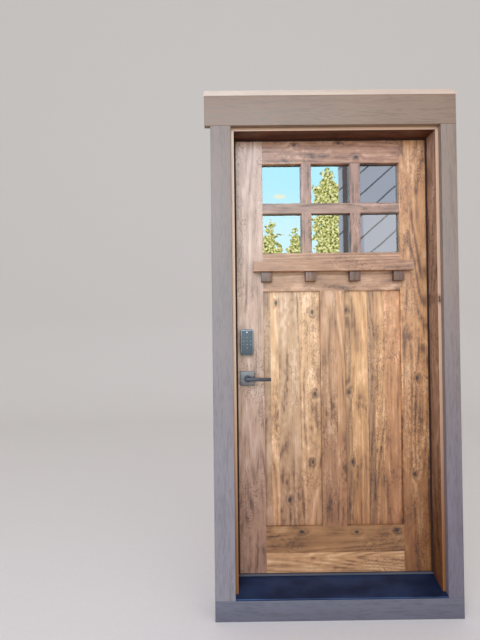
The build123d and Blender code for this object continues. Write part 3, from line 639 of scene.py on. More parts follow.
def rod(
    name: str, centre: Sequence[float], radius: float, length: float, axis: str, sides: int = 48
) -> Piece:
    """Makes a round rod.

    Args:
        name: The piece's name.
        centre: Its middle, in millimetres.
        radius: Its radius, in millimetres.
        length: Its length, in millimetres.
        axis: The axis it lies along.
        sides: How many flat sides stand for the round.

    Returns:
        The rod.
    """
    turn = {"X": (0.0, math.pi / 2, 0.0), "Y": (math.pi / 2, 0.0, 0.0), "Z": (0.0, 0.0, 0.0)}[axis]
    bpy.ops.object.select_all(action="DESELECT")
    bpy.ops.mesh.primitive_cylinder_add(
        vertices=sides,
        radius=radius * MM,
        depth=length * MM,
        location=Vector(centre) * MM,
        rotation=turn,
    )
    return settle(name)


def edit_edges(piece: Piece, chosen: EdgeTest) -> None:
    """Opens a piece for editing with some of its edges selected.

    Args:
        piece: The piece.
        chosen: Tells from an edge's two ends, in millimetres, whether it is selected.
    """
    mesh = piece.data
    select_only(piece)
    bpy.ops.object.mode_set(mode="EDIT")
    bpy.ops.mesh.select_mode(type="EDGE")
    bpy.ops.mesh.select_all(action="DESELECT")
    bpy.ops.object.mode_set(mode="OBJECT")
    for edge in mesh.edges:
        edge.select = chosen(*[mesh.vertices[index].co / MM for index in edge.vertices])
    bpy.ops.object.mode_set(mode="EDIT")


def round_edges(piece: Piece, chosen: EdgeTest, size: float, steps: int) -> Piece:
    """Rounds some edges of a piece.

    Args:
        piece: The piece.
        chosen: Tells from an edge's two ends, in millimetres, whether it is rounded.
        size: How far the round reaches from the edge, in millimetres.
        steps: How many faces make up the round.

    Returns:
        The same piece.
    """
    edit_edges(piece, chosen)
    bpy.ops.mesh.bevel(offset=size * MM, segments=steps, affect="EDGES", clamp_overlap=True)
    bpy.ops.object.mode_set(mode="OBJECT")
    return piece


def every_edge(a: Vector, b: Vector) -> bool:
    """Picks every edge, whatever its two ends."""
    return True


def runs_along(axis: int) -> EdgeTest:
    """Returns a test that picks the edges that run along one axis."""
    others = [index for index in range(3) if index != axis]
    return lambda a, b: all(abs(a[index] - b[index]) < 0.01 for index in others)


def lies_at(axis: int, *values: float) -> EdgeTest:
    """Returns a test that picks the edges that lie wholly at one of an axis's values."""
    return lambda a, b: any(abs(a[axis] - v) < 0.01 and abs(b[axis] - v) < 0.01 for v in values)


def smooth(piece: Piece, angle: float = 38.0) -> Piece:
    """Smooths the faces that meet at less than an angle.

    Args:
        piece: The piece.
        angle: The angle, in degrees.

    Returns:
        The same piece.
    """
    select_only(piece)
    bpy.ops.object.shade_smooth_by_angle(angle=math.radians(angle))
    return piece


def join(name: str, pieces: Sequence[Piece]) -> Piece:
    """Makes one piece of several.

    Args:
        name: The name of the whole.
        pieces: The pieces.

    Returns:
        The whole.
    """
    select_only(*pieces)
    bpy.ops.object.join()
    return named(bpy.context.object, name)


def bored(piece: Piece, cutter: Piece) -> Piece:
    """Cuts a hole in a piece and throws the cutter away.

    Args:
        piece: The piece.
        cutter: A rod as wide as the hole, which sticks out at both ends.

    Returns:
        The piece with its hole.
    """
    hole = piece.modifiers.new("hole", "BOOLEAN")
    hole.operation = "DIFFERENCE"
    hole.solver = "EXACT"
    hole.object = cutter
    select_only(piece)
    bpy.ops.object.modifier_apply(modifier=hole.name)
    bpy.data.objects.remove(cutter)
    return smooth(piece)


def copied(piece: Piece, name: str, move: Matrix) -> Piece:
    """Copies a piece.

    Args:
        piece: The piece that is copied.
        name: The copy's name.
        move: Where the copy goes, from the place of the first.

    Returns:
        The copy, with a mesh of its own.
    """
    select_only(piece)
    bpy.ops.object.duplicate(linked=False)
    other = named(bpy.context.object, name)
    other.data.transform(move)
    return other


def shifted(x: float = 0.0, y: float = 0.0, z: float = 0.0) -> Matrix:
    """Returns a move by millimetres."""
    return Matrix.Translation(Vector((x, y, z)) * MM)


@dataclass
class Assembly:
    """A sub-assembly of the door, with the frame's nodes that it dresses."""

    nodes: dict[str, Piece]

    def dress(self, material: bpy.types.Material, *names: str) -> None:
        """Gives CAD nodes their finish.

        Args:
            material: The finish.
            *names: The nodes.
        """
        for name in names:
            slots = self.nodes[name].data.materials
            slots.clear()
            slots.append(material)
        LOG.info("%s on %s", material.name, ", ".join(names))

    def add(
        self, piece: Piece, material: bpy.types.Material, body: Body, slot: str, *stands_for: str
    ) -> None:
        """Finishes a modelled piece and puts it in the frame.

        Args:
            piece: The piece.
            material: Its finish.
            body: The body it moves with.
            slot: The record's material slot, which is not used.
            *stands_for: The CAD nodes it is shown for.
        """
        piece.data.materials.clear()
        piece.data.materials.append(material)
        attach(piece, body.value)
        if stands_for:
            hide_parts(*stands_for)
        LOG.info("modelled %s with %d faces", piece.name, len(piece.data.polygons))

    def eased(self, node: str, size: float) -> Piece:
        """Copies a CAD board and eases all its edges.

        Args:
            node: The board's node.
            size: How far the ease reaches, in millimetres.

        Returns:
            The eased copy, still without its finish.
        """
        piece = copied(self.nodes[node], node + "_eased", Matrix.Identity(4))
        piece.parent = None
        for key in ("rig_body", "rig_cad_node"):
            if key in piece:
                del piece[key]
        bpy.ops.object.mode_set(mode="EDIT")
        bpy.ops.mesh.select_all(action="SELECT")
        bpy.ops.mesh.remove_doubles(threshold=0.01 * MM)
        bpy.ops.mesh.dissolve_limited(angle_limit=math.radians(1.0))
        bpy.ops.object.mode_set(mode="OBJECT")
        return smooth(round_edges(piece, every_edge, size, 3))


@dataclass
class LeafWoodwork(Assembly):
    """Stiles, rails, mullion, bars, panels, shelf and dentils of the leaf."""

    dentil_ease: float = 1.6
    # each row names its nodes and then their wood
    boards: tuple[tuple, ...] = (
        # the latch stile is the palest board and the hinge stile the most golden
        (
            "latch_stile",
            KnottyAlder(
                ALDER + "latch stile", "#856350", "#d3af93", "#ebd4bd", seed=3.1, mottle=0.7
            ),
        ),
        (
            "hinge_stile",
            KnottyAlder(
                ALDER + "hinge stile", "#7d5133", "#d49c64", "#fbd29e", seed=11.7, mottle=1.05,
                knots=(Knot(388.6, 936.0), Knot(372.0, 493.0)), foot="#ad9370",
            ),
        ),
        # the rails have level grain
        (
            "top_rail",
            KnottyAlder(
                ALDER + "top rail", "#603a27", "#b07d5c", "#dcae8a", Grain.LEVEL, 21.3, mottle=1.1,
                knots=(Knot(-167.2, 2025.0, 8.0), Knot(38.0, 2033.0, 7.0), Knot(120.9, 1966.0)),
            ),
        ),
        (
            "shelf_rail",
            KnottyAlder(
                ALDER + "shelf rail", "#6b462f", "#b98a65", "#e0b58e", Grain.LEVEL, 27.9, mottle=1.0
            ),
        ),
        # two boards glued edge to edge, the lower one golden
        (
            "bottom_rail",
            KnottyAlder(
                ALDER + "bottom rail", "#755337", "#c9a97e", "#eed7b1", Grain.LEVEL, 34.4,
                knots=(Knot(-153.5, 234.0), Knot(100.0, 231.0, 8.0), Knot(284.7, 237.0)),
                start=48.0,
                staves=(Stave(139.0, "#f0f0ea"), Stave(262.0, "#bcae96")),
            ),
        ),
        # staves of different trees side by side, in clear golden tones
        (
            "left_panel",
            KnottyAlder(
                STAVES + "left panel", "#876045", "#d4b38b", "#f9e1c2", seed=47.5, mottle=0.95,
                knots=(
                    Knot(-259.0, 1291.0, 8.0), Knot(-91.5, 1247.0, 8.0), Knot(-82.6, 865.0),
                    Knot(-96.2, 550.0, 8.0), Knot(-205.3, 376.0, 10.0),
                ),
                start=-330.0,
                staves=(
                    Stave(-286.4, "#b0a8a2"), Stave(-250.6, "#d2c8b8"),
                    Stave(-152.8, "#bab2aa"), Stave(-50.0, "#ccc3b6"),
                ),
            ),
        ),
        (
            "right_panel",
            KnottyAlder(
                STAVES + "right panel", "#7b5336", "#cba374", "#f3cfa5", seed=55.8, mottle=0.95,
                knots=(Knot(67.5, 1255.0, 8.0), Knot(76.0, 872.0), Knot(89.9, 548.0, 8.0)),
                start=50.0,
                staves=(
                    Stave(89.4, "#b4aca4"), Stave(164.0, "#cec5b6"), Stave(196.6, "#a89e97"),
                    Stave(243.3, "#cac0b2"), Stave(330.0, "#c4b2a4"),
                ),
                foot="#b49c89",
            ),
        ),
        # browner than the panels on both sides of it
        (
            "centre_mullion",
            KnottyAlder(
                ALDER + "centre mullion", "#785539", "#c99d71", "#edcaa2", seed=41.2, mottle=1.05,
                start=-64.0,
                staves=(Stave(20.0, "#b6afab"), Stave(64.0, "#c0b8ae")),
            ),
        ),
        # narrow clear stock with no knots, a shade cooler than the rails
        (
            "left_glazing_bar",
            "right_glazing_bar",
            KnottyAlder(ALDER + "upright bars", "#5f3e2c", "#b18871", "#d9af9a", seed=61.0),
        ),
        (
            "level_glazing_bar",
            KnottyAlder(ALDER + "level bar", "#5f3e2c", "#a7826b", "#cda893", Grain.LEVEL, 66.6),
        ),
        # planed smooth on its front edge, with long quiet lines
        (
            "shelf",
            KnottyAlder(
                ALDER + "shelf", "#70492f", "#b3835f", "#d4a580", Grain.LEVEL, 72.1, mottle=0.5
            ),
        ),
    )
    # end grain drinks the stain, so the blocks are the darkest wood of the leaf
    dentils: KnottyAlder = KnottyAlder(
        ALDER + "dentil blocks", "#3e2216", "#74482f", "#9a6546", seed=79.9
    )

    def build(self) -> None:
        """Dresses the boards and models the dentils with eased edges."""
        for *nodes, wood in self.boards:
            self.dress(wood.material(), *nodes)
        block_wood = self.dentils.material()
        for number in range(1, 5):
            node = f"dentil_{number}"
            self.add(self.eased(node, self.dentil_ease), block_wood, Body.LEAF, "shelf_wood", node)


@dataclass
class Lites(Assembly):
    """The six sealed units, each of two panes around a spacer bar; modelled once and copied."""

    pane: float = 3.0
    bar: float = 7.0
    edge: float = 0.2
    # the grey skin hides the room and gives back sky and trees
    glass: SealedGlass = SealedGlass()
    # matt black all round each lite: a real warm-edge spacer whose black also stands in as painted
    # shade for the shaded recess, so its edge reads as a deep dark line
    spacer: Moulded = Moulded("Warm-edge spacer bar, matt black silicone foam", "#17171a", 0.75)

    def panes(self, x: Span, y: Span, z: Span) -> Piece:
        """Models the two panes of a unit.

        Args:
            x: The unit's span across the door, in millimetres.
            y: Its span through the door.
            z: Its span upwards.

        Returns:
            Both panes as one piece.
        """
        sheets = []
        for depth in ((y[0], y[0] + self.pane), (y[1] - self.pane, y[1])):
            sheet = block("pane", x, depth, z)
            sheets.append(round_edges(sheet, every_edge, self.edge, 1))
        return join("panes", sheets)

    def frame(self, x: Span, y: Span, z: Span) -> Piece:
        """Models the spacer bar between the panes.

        Args:
            x: The unit's span across the door, in millimetres.
            y: Its span through the door.
            z: Its span upwards.

        Returns:
            The bar, all the way round.
        """
        ring = block("spacer", x, (y[0] + self.pane, y[1] - self.pane), z)
        select_only(ring)
        for face in ring.data.polygons:
            face.select = abs(face.normal.y) > 0.5
        bpy.context.tool_settings.mesh_select_mode = (False, False, True)
        bpy.ops.object.mode_set(mode="EDIT")
        bpy.ops.mesh.inset(thickness=self.bar * MM, depth=0.0)
        bpy.ops.mesh.bridge_edge_loops()
        bpy.ops.object.mode_set(mode="OBJECT")
        return ring

    def build(self) -> None:
        """Glazes all six lites."""
        glass = self.glass.material()
        metal = self.spacer.material()
        low, high = (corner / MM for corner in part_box("upper_left_lite"))
        spans = [(low[axis], high[axis]) for axis in range(3)]
        panes = self.panes(*spans)
        frame = self.frame(*spans)
        for row in ("upper", "lower"):
            for column in ("left", "middle", "right"):
                node = f"{row}_{column}_lite"
                move = Matrix.Translation(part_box(node)[0] - low * MM)
                self.add(copied(panes, node + "_panes", move), glass, Body.LEAF, "lite_glass", node)
                self.add(copied(frame, node + "_spacer", move), metal, Body.LEAF, "lite_glass")
        for pattern in (panes, frame):
            bpy.data.objects.remove(pattern)


@dataclass
class OuterFrame(Assembly):
    """Jambs, painted boards, drip cap, sill and cap strip."""

    board_ease: float = 1.8
    # straight quiet grain; the pale front arris is a painted highlight, standing in for the light
    # that the front face catches
    jamb: KnottyAlder = KnottyAlder(
        "Fir, stained and sealed, side jambs", "#6c4d3b", "#a88469", "#d3b498", seed=83.0,
        knots=(Knot(455.0, 1289.0, 6.5), Knot(454.0, 1302.0, 5.5)), mottle=0.35,
        foot="#b18b57", edge="#e6c19d",
    )
    # the head is a darker copy of the side jambs' fir, as painted shade of the opening
    head: KnottyAlder = KnottyAlder(
        "Fir, stained and sealed, head jamb", "#2e140b", "#582b15", "#814526", Grain.LEVEL, 88.0,
        mottle=0.35, edge="#e0bb98",
    )
    # the pressed grain breaks the sheen of the paint into short dull lines; the boards are lit and
    # shaded
    # copies of the one paint: the head warmer, and each board bluer at the foot and darker there
    # under the sill and on the right leg
    painted: tuple[tuple[str, EmbossedPaint], ...] = (
        ("head_casing", EmbossedPaint(PAINT + "head", "#947a63", "#947a63", Grain.LEVEL)),
        ("sill_trim_board", EmbossedPaint(PAINT + "under sill", "#958578", "#6b6b7a", Grain.LEVEL)),
        ("latch_side_casing", EmbossedPaint(PAINT + "left leg", "#958578", "#949199")),
        ("hinge_side_casing", EmbossedPaint(PAINT + "right leg", "#978371", "#787280")),
    )
    # the dye is sealed into the metal, which stays deep blue grey with a soft sheen
    sill: CoatedMetal = CoatedMetal(
        "Aluminium sill, dark blue-grey anodised", "#202e4f", "#2f436a", 0.34, metallic=0.6
    )
    # a dull skin, which reads as one even mauve line under the leaf
    cap: CoatedMetal = CoatedMetal(
        "Vinyl-clad cap strip, mauve grey", "#5e5b65", "#53515b", roughness=0.5, metallic=0.0
    )
    # baked enamel is smooth, so the slope catches the most light of the frame
    drip: CoatedMetal = CoatedMetal(
        "Steel drip cap, baked cream enamel", "#d2bca4", "#c8b29a", roughness=0.45, metallic=0.0
    )

    def build(self) -> None:
        """Dresses the frame and eases the painted boards."""
        self.dress(self.jamb.material(), "latch_jamb", "hinge_jamb")
        self.dress(self.head.material(), "head_jamb")
        self.dress(self.sill.material(), "sill")
        self.dress(self.cap.material(), "sill_cap")
        self.dress(self.drip.material(), "drip_cap")
        for node, paint in self.painted:
            board = self.eased(node, self.board_ease)
            self.add(board, paint.material(), Body.FRAME, "painted_trim", node)


@dataclass
class Seals(Assembly):
    """Weatherstrips in the rebate and the sweep under the leaf."""

    # the skin throws nothing back, so the joint round the leaf reads as a dark line
    foam: Moulded = Moulded("Foam weatherstrip, brown skin", "#3e2820", 0.8, specular=0.12)
    # dull black fins that show only as a shadow under the leaf
    rubber: Moulded = Moulded("Door sweep, extruded black vinyl", "#1b1a1c", 0.5)

    def build(self) -> None:
        """Dresses the seals."""
        strips = (f"{side}_weatherstrip" for side in ("latch_side", "hinge_side", "head"))
        self.dress(self.foam.material(), *strips)
        self.dress(self.rubber.material(), "door_sweep")


@dataclass
class Hinges(Assembly):
    """Three butt hinges with round knuckles, modelled once and set at three levels."""

    height: float = 101.6
    plate: float = 2.6
    reach: float = 35.0
    knuckle: float = 6.35
    knuckles: int = 5
    gap: float = 0.3
    stand: float = 0.5
    corner: float = 0.5
    knuckle_rim: float = 0.4
    pin: tuple[float, float] = (458.7, 140.35)
    pin_radius: float = 3.0
    button: float = 4.8
    button_height: float = 3.0
    button_rim: float = 1.4
    # rubbed plating is dark brown in the flats and warmer on the round knuckles
    bronze: CoatedMetal = CoatedMetal(
        "Steel hinge, oil-rubbed bronze plating", "#352a25", "#4a3a31", lines=(400.0, 400.0, 40.0)
    )

    def half(self, name: str, sides: Span, first: int) -> Piece:
        """Models one plate with its knuckles, at the level of the first hinge.

        Args:
            name: The piece's name.
            sides: The two faces of the plate across the door.
            first: Which knuckle from the bottom is its lowest.

        Returns:
            The half hinge.
        """
        low = HINGE_LEVELS[0][1] - self.height / 2
        pitch = self.height / self.knuckles
        depth = (LEAF_BACK - self.reach, LEAF_BACK + self.stand)
        flat = block(name, sides, depth, (low, low + self.height))
        parts = [round_edges(flat, runs_along(0), self.corner, 2)]
        for index in range(first, self.knuckles, 2):
            span = (low + index * pitch + self.gap / 2, low + (index + 1) * pitch - self.gap / 2)
            parts.append(block(name + "_tab", sides, (LEAF_BACK, self.pin[1]), span))
            middle = (*self.pin, sum(span) / 2)
            barrel = rod(name + "_barrel", middle, self.knuckle, span[1] - span[0], "Z")
            parts.append(round_edges(barrel, lies_at(2, *span), self.knuckle_rim, 2))
        return smooth(join(name, parts))

    def build(self) -> None:
        """Models the hinges and their pins."""
        metal = self.bronze.material()
        frame_half = self.half("hinge_frame_half", (JAMB_FACE, JAMB_FACE + self.plate), 0)
        leaf_half = self.half("hinge_leaf_half", (LEAF_EDGE - self.plate, LEAF_EDGE), 1)
        first = HINGE_LEVELS[0][1]
        pins = []
        for name, level in HINGE_LEVELS:
            for half, body in ((frame_half, Body.FRAME), (leaf_half, Body.LEAF)):
                node = f"{name}_hinge_{body.value}_plate"
                piece = copied(half, node + "_rounded", shifted(z=level - first))
                self.add(piece, metal, body, "hinge_metal", node)
            place = (*self.pin, level)
            shank = rod("pin_shank", place, self.pin_radius, self.height, "Z", 24)
            top = level + self.height / 2 + self.button_height / 2
            button = rod("pin_button", (*self.pin, top), self.button, self.button_height, "Z", 32)
            rim = lies_at(2, top + self.button_height / 2)
            pins += [shank, round_edges(button, rim, self.button_rim, 4)]
        for half in (frame_half, leaf_half):
            bpy.data.objects.remove(half)
        rounded = smooth(join("hinge_pins_rounded", pins))
        self.add(rounded, metal, Body.FRAME, "hinge_metal", "hinge_pins")


@dataclass
class Screws(Assembly):
    """Countersunk screws with a cross recess, modelled once and driven in wherever one sits."""

    head: float = 4.2
    sink: float = 2.2
    shank: float = 2.1
    recess: tuple[float, float, float] = (4.6, 1.1, 1.6)
    frame_length: float = 16.5
    leaf_length: float = 28.0
    turn: float = 37.0
    row_depth: float = 17.5
    pitch: float = 38.0
    stagger: float = 7.0
    strike_drop: float = 26.0
    plate_drop: float = 21.5
    # the heads match their plates, and the recess stays darkest
    steel: CoatedMetal = CoatedMetal(
        "Steel screw, oil-rubbed bronze plating", "#3a2e28", "#50403a", 0.32, lines=(400.0,) * 3
    )

    def first(self, length: float) -> Piece:
        """Models a screw with its head at the origin, pointing along X.

        Args:
            length: Its whole length, in millimetres.

        Returns:
            The screw.
        """
        bpy.ops.object.select_all(action="DESELECT")
        bpy.ops.mesh.primitive_cone_add(
            vertices=20,
            radius1=self.head * MM,
            radius2=self.shank * MM,
            depth=self.sink * MM,
            location=(self.sink / 2 * MM, 0.0, 0.0),
            rotation=(0.0, math.pi / 2, 0.0),
        )
        head = settle("screw_head")
        long, wide, deep = self.recess
        for index, size in enumerate(((long, wide), (wide, long))):
            cutter = block("recess", (-deep, deep), *(around(0.0, side) for side in size))
            select_only(head)
            cut = head.modifiers.new(f"recess_{index}", "BOOLEAN")
            cut.object = cutter
            cut.operation = "DIFFERENCE"
            bpy.ops.object.modifier_apply(modifier=cut.name)
            bpy.data.objects.remove(cutter)
        middle = (self.sink + length) / 2
        body = rod("screw_shank", (middle, 0.0, 0.0), self.shank, length - self.sink, "X", 12)
        return smooth(join("screw", [head, body]), 30.0)

    def driven(self, name: str, *groups: tuple[float, float, list[Span]]) -> Piece:
        """Sets screws in rows.

        Args:
            name: The name of the whole set.
            *groups: For each row the face it sits on, the signed length along X, and its places.

        Returns:
            All the screws as one piece.
        """
        pieces = []
        for face, length, places in groups:
            pattern = self.first(abs(length))
            facing = Matrix.Rotation(0.0 if length > 0 else math.pi, 4, "Z")
            for index, (y, z) in enumerate(places):
                turned = Matrix.Rotation(math.radians(self.turn * index), 4, "X")
                pieces.append(copied(pattern, name, shifted(face, y, z) @ facing @ turned))
            bpy.data.objects.remove(pattern)
        return join(name, pieces)

    def build(self) -> None:
        """Models both sets of screws."""
        metal = self.steel.material()
        near = LEAF_BACK - self.row_depth
        rows = []
        for _, level in HINGE_LEVELS:
            for step, side in ((-1, 1), (0, -1), (1, 1)):
                rows.append((near + side * self.stagger, level + step * self.pitch))
        middle = (LEAF_FRONT + LEAF_BACK) / 2
        strikes, plates = (
            [(middle, level + step * drop) for level in (LEVER_Z, DEADBOLT_Z) for step in (-1, 1)]
            for drop in (self.strike_drop, self.plate_drop)
        )
        short, long = self.frame_length, self.leaf_length
        frame_rows = ((JAMB_FACE, short, rows), (-JAMB_FACE, -short, strikes))
        leaf_rows = ((LEAF_EDGE, -long, rows), (-LEAF_EDGE, long, plates))
        frame_set = self.driven("frame_screws_cross", *frame_rows)
        leaf_set = self.driven("leaf_screws_cross", *leaf_rows)
        self.add(frame_set, metal, Body.FRAME, "screw_metal", "frame_screws")
        self.add(leaf_set, metal, Body.LEAF, "screw_metal", "leaf_screws")


def soft_block(
    name: str, x: Span, y: Span, z: Span, corner: float, rim: float, out: float
) -> Piece:
    """Models a plate or housing with round corners and a round rim on its outer face.

    Args:
        name: The piece's name.
        x: Its span across the door, in millimetres, as are the next two.
        y: Its span through the door.
        z: Its span upwards.
        corner: The radius of its corners.
        rim: The radius of its outer rim.
        out: -1 if it faces outdoors and 1 if it faces indoors.

    Returns:
        The piece.
    """
    piece = round_edges(block(name, x, y, z), runs_along(1), corner, 8)
    return smooth(round_edges(piece, lies_at(1, y[0] if out < 0 else y[1]), rim, 4))


@dataclass
class Keypad(Assembly):
    """The outdoor touch keypad of the deadbolt, with its digits."""

    size: tuple[float, float] = (59.0, 117.0)
    level: float = 1110.4
    thick: float = 23.0
    corner: float = 8.0
    rim: float = 3.0
    border: float = 4.5
    proud: float = 0.6
    sunk: float = 2.0
    face_rim: float = 0.5
    light_drop: float = 12.0
    light: tuple[float, float] = (3.1, 0.4)
    digit: float = 7.4
    relief: float = 0.05
    pitch: tuple[float, float] = (16.4, 15.6)
    first_row: float = 1131.7
    rows: tuple[str, ...] = ("123", "456", "789", " 0 ")
    # satin plating, so the round rim catches a pale line beside the dark face
    metal: CoatedMetal = CoatedMetal(
        "Zinc keypad housing, slate satin plating", "#70747d", "#585c66", 0.3,
        lines=(900.0, 900.0, 60.0),
    )
    # a matt coat keeps the face an even blue grey with no mirror of the garden
    face: Moulded = Moulded("Touch face, matt coated acrylic", "#2b3345", 0.42, 300.0, 0.005)
    # ink on the surface stays flat and pale beside the coat round it
    ink: Moulded = Moulded("Digits, screen-printed pale ink", "#c6cacf", 0.5)
    # the milky lens is the one bright point of the keypad
    lamp: Moulded = Moulded("Status light, diffusing white lens", "#ffffff", 0.3)

    def digits(self) -> Piece:
        """Models the digits as raised ink.

        Returns:
            All ten as one piece.
        """
        pieces = []
        front = LEAF_FRONT - self.thick - self.proud
        for row, text in enumerate(self.rows):
            for column, sign in enumerate(text):
                if sign == " ":
                    continue
                bpy.ops.object.select_all(action="DESELECT")
                bpy.ops.object.text_add()
                letter = bpy.context.object
                letter.data.body = sign
                letter.data.size = self.digit * MM
                letter.data.extrude = self.relief * MM
                letter.data.align_x = "CENTER"
                letter.data.align_y = "CENTER"
                bpy.ops.object.convert(target="MESH")
                piece = settle("digit_" + sign)
                x = LOCK_X + (column - 1) * self.pitch[0]
                z = self.first_row - row * self.pitch[1]
                piece.data.transform(shifted(x, front, z) @ Matrix.Rotation(math.pi / 2, 4, "X"))
                pieces.append(piece)
        return join("keypad_digits", pieces)

    def build(self) -> None:
        """Models the keypad."""
        wide, high = self.size
        x, z = around(LOCK_X, wide), around(self.level, high)
        front = LEAF_FRONT - self.thick
        depth = (front, LEAF_FRONT)
        housing = soft_block("keypad_housing_soft", x, depth, z, self.corner, self.rim, -1)
        x, z = ((low + self.border, top - self.border) for low, top in (x, z))
        depth = (front - self.proud, front + self.sunk)
        corner = self.corner - self.border
        face = soft_block("keypad_face_soft", x, depth, z, corner, self.face_rim, -1)
        self.add(housing, self.metal.material(), Body.LEAF, "keypad_metal", "keypad_housing")
        self.add(face, self.face.material(), Body.LEAF, "keypad_glass", "keypad_face")
        self.add(self.digits(), self.ink.material(), Body.LEAF, "keypad_glass")
        place = (LOCK_X, front - self.proud, self.level + high / 2 - self.light_drop)
        light = smooth(rod("keypad_light", place, *self.light, "Y", 24))
        self.add(light, self.lamp.material(), Body.LEAF, "keypad_glass")


@dataclass
class Handles(Assembly):
    """Square rosettes and straight levers, modelled outdoors and mirrored through the leaf."""

    side: float = 66.7
    thick: float = 9.0
    corner: float = 3.0
    rim: float = 1.8
    hub: float = 12.5
    projection: float = 54.0
    reach: float = 106.0
    arm: tuple[float, float] = (16.0, 11.0)
    edge: float = 2.4
    clearance: float = 0.2
    collar_lift: float = 2.0
    collar_reach: float = 2.6
    collar_thick: float = 3.6
    collar_rim: float = 0.7
    # handled often, so the lever is the smoother of the two; its darker colour is painted shade
    # beside the rosette, which carries the same plating
    bronze: CoatedMetal = CoatedMetal(
        "Zinc lever, dark bronze satin plating", "#37333a", "#474149", 0.31,
        lines=(60.0, 900.0, 900.0),
    )
    # the same plating as the lever; its paler colour is painted light, where the flat plate faces
    # the light
    plate: CoatedMetal = CoatedMetal(
        "Zinc rosette, bronze satin plating", "#5a5256", "#6b6164", 0.36,
        lines=(900.0, 900.0, 60.0),
    )

    def lever(self, name: str, face: float, out: float) -> Piece:
        """Models a lever on its hub.

        Args:
            name: The lever's name.
            face: The face of the leaf it stands on.
            out: -1 if it stands outdoors and 1 if indoors.

        Returns:
            The lever.
        """
        tip = face + out * self.projection
        inner = tip - out * self.arm[1]
        half = self.arm[0] / 2
        across = (LOCK_X - half, LOCK_X + self.reach)
        depth = tuple(sorted((tip, inner)))
        bar = block("lever_bar", across, depth, around(LEVER_Z, self.arm[0]))
        round_edges(bar, every_edge, self.edge, 5)
        start = face + out * self.clearance
        middle = (LOCK_X, (inner + start) / 2, LEVER_Z)
        neck = rod("lever_neck", middle, self.hub, abs(inner - start), "Y", 64)
        collar = face + out * (self.thick + self.collar_lift)
        radius = self.hub + self.collar_reach
        ring = rod("lever_collar", (LOCK_X, collar, LEVER_Z), radius, self.collar_thick, "Y", 64)
        ends = lies_at(1, *around(collar, self.collar_thick))
        round_edges(ring, ends, self.collar_rim, 3)
        return smooth(join(name, [bar, neck, ring]))

    def rosette(self, name: str, face: float, out: float) -> Piece:
        """Models a square rosette.

        Args:
            name: The rosette's name.
            face: The face of the leaf it stands on.
            out: -1 if it stands outdoors and 1 if indoors.

        Returns:
            The rosette.
        """
        depth = tuple(sorted((face, face + out * self.thick)))
        x, z = around(LOCK_X, self.side), around(LEVER_Z, self.side)
        return soft_block(name, x, depth, z, self.corner, self.rim, out)

    def build(self) -> None:
        """Models both rosettes and both levers."""
        metal = self.bronze.material()
        pale = self.plate.material()
        for place, face, out in (("exterior", LEAF_FRONT, -1.0), ("interior", LEAF_BACK, 1.0)):
            plate = self.rosette(place + "_rosette_soft", face, out)
            self.add(plate, pale, Body.LEAF, "lock_bronze", place + "_rosette")
            lever = self.lever(place + "_lever_soft", face, out)
            self.add(lever, metal, Body.LEVERS, "lock_bronze", place + "_lever")


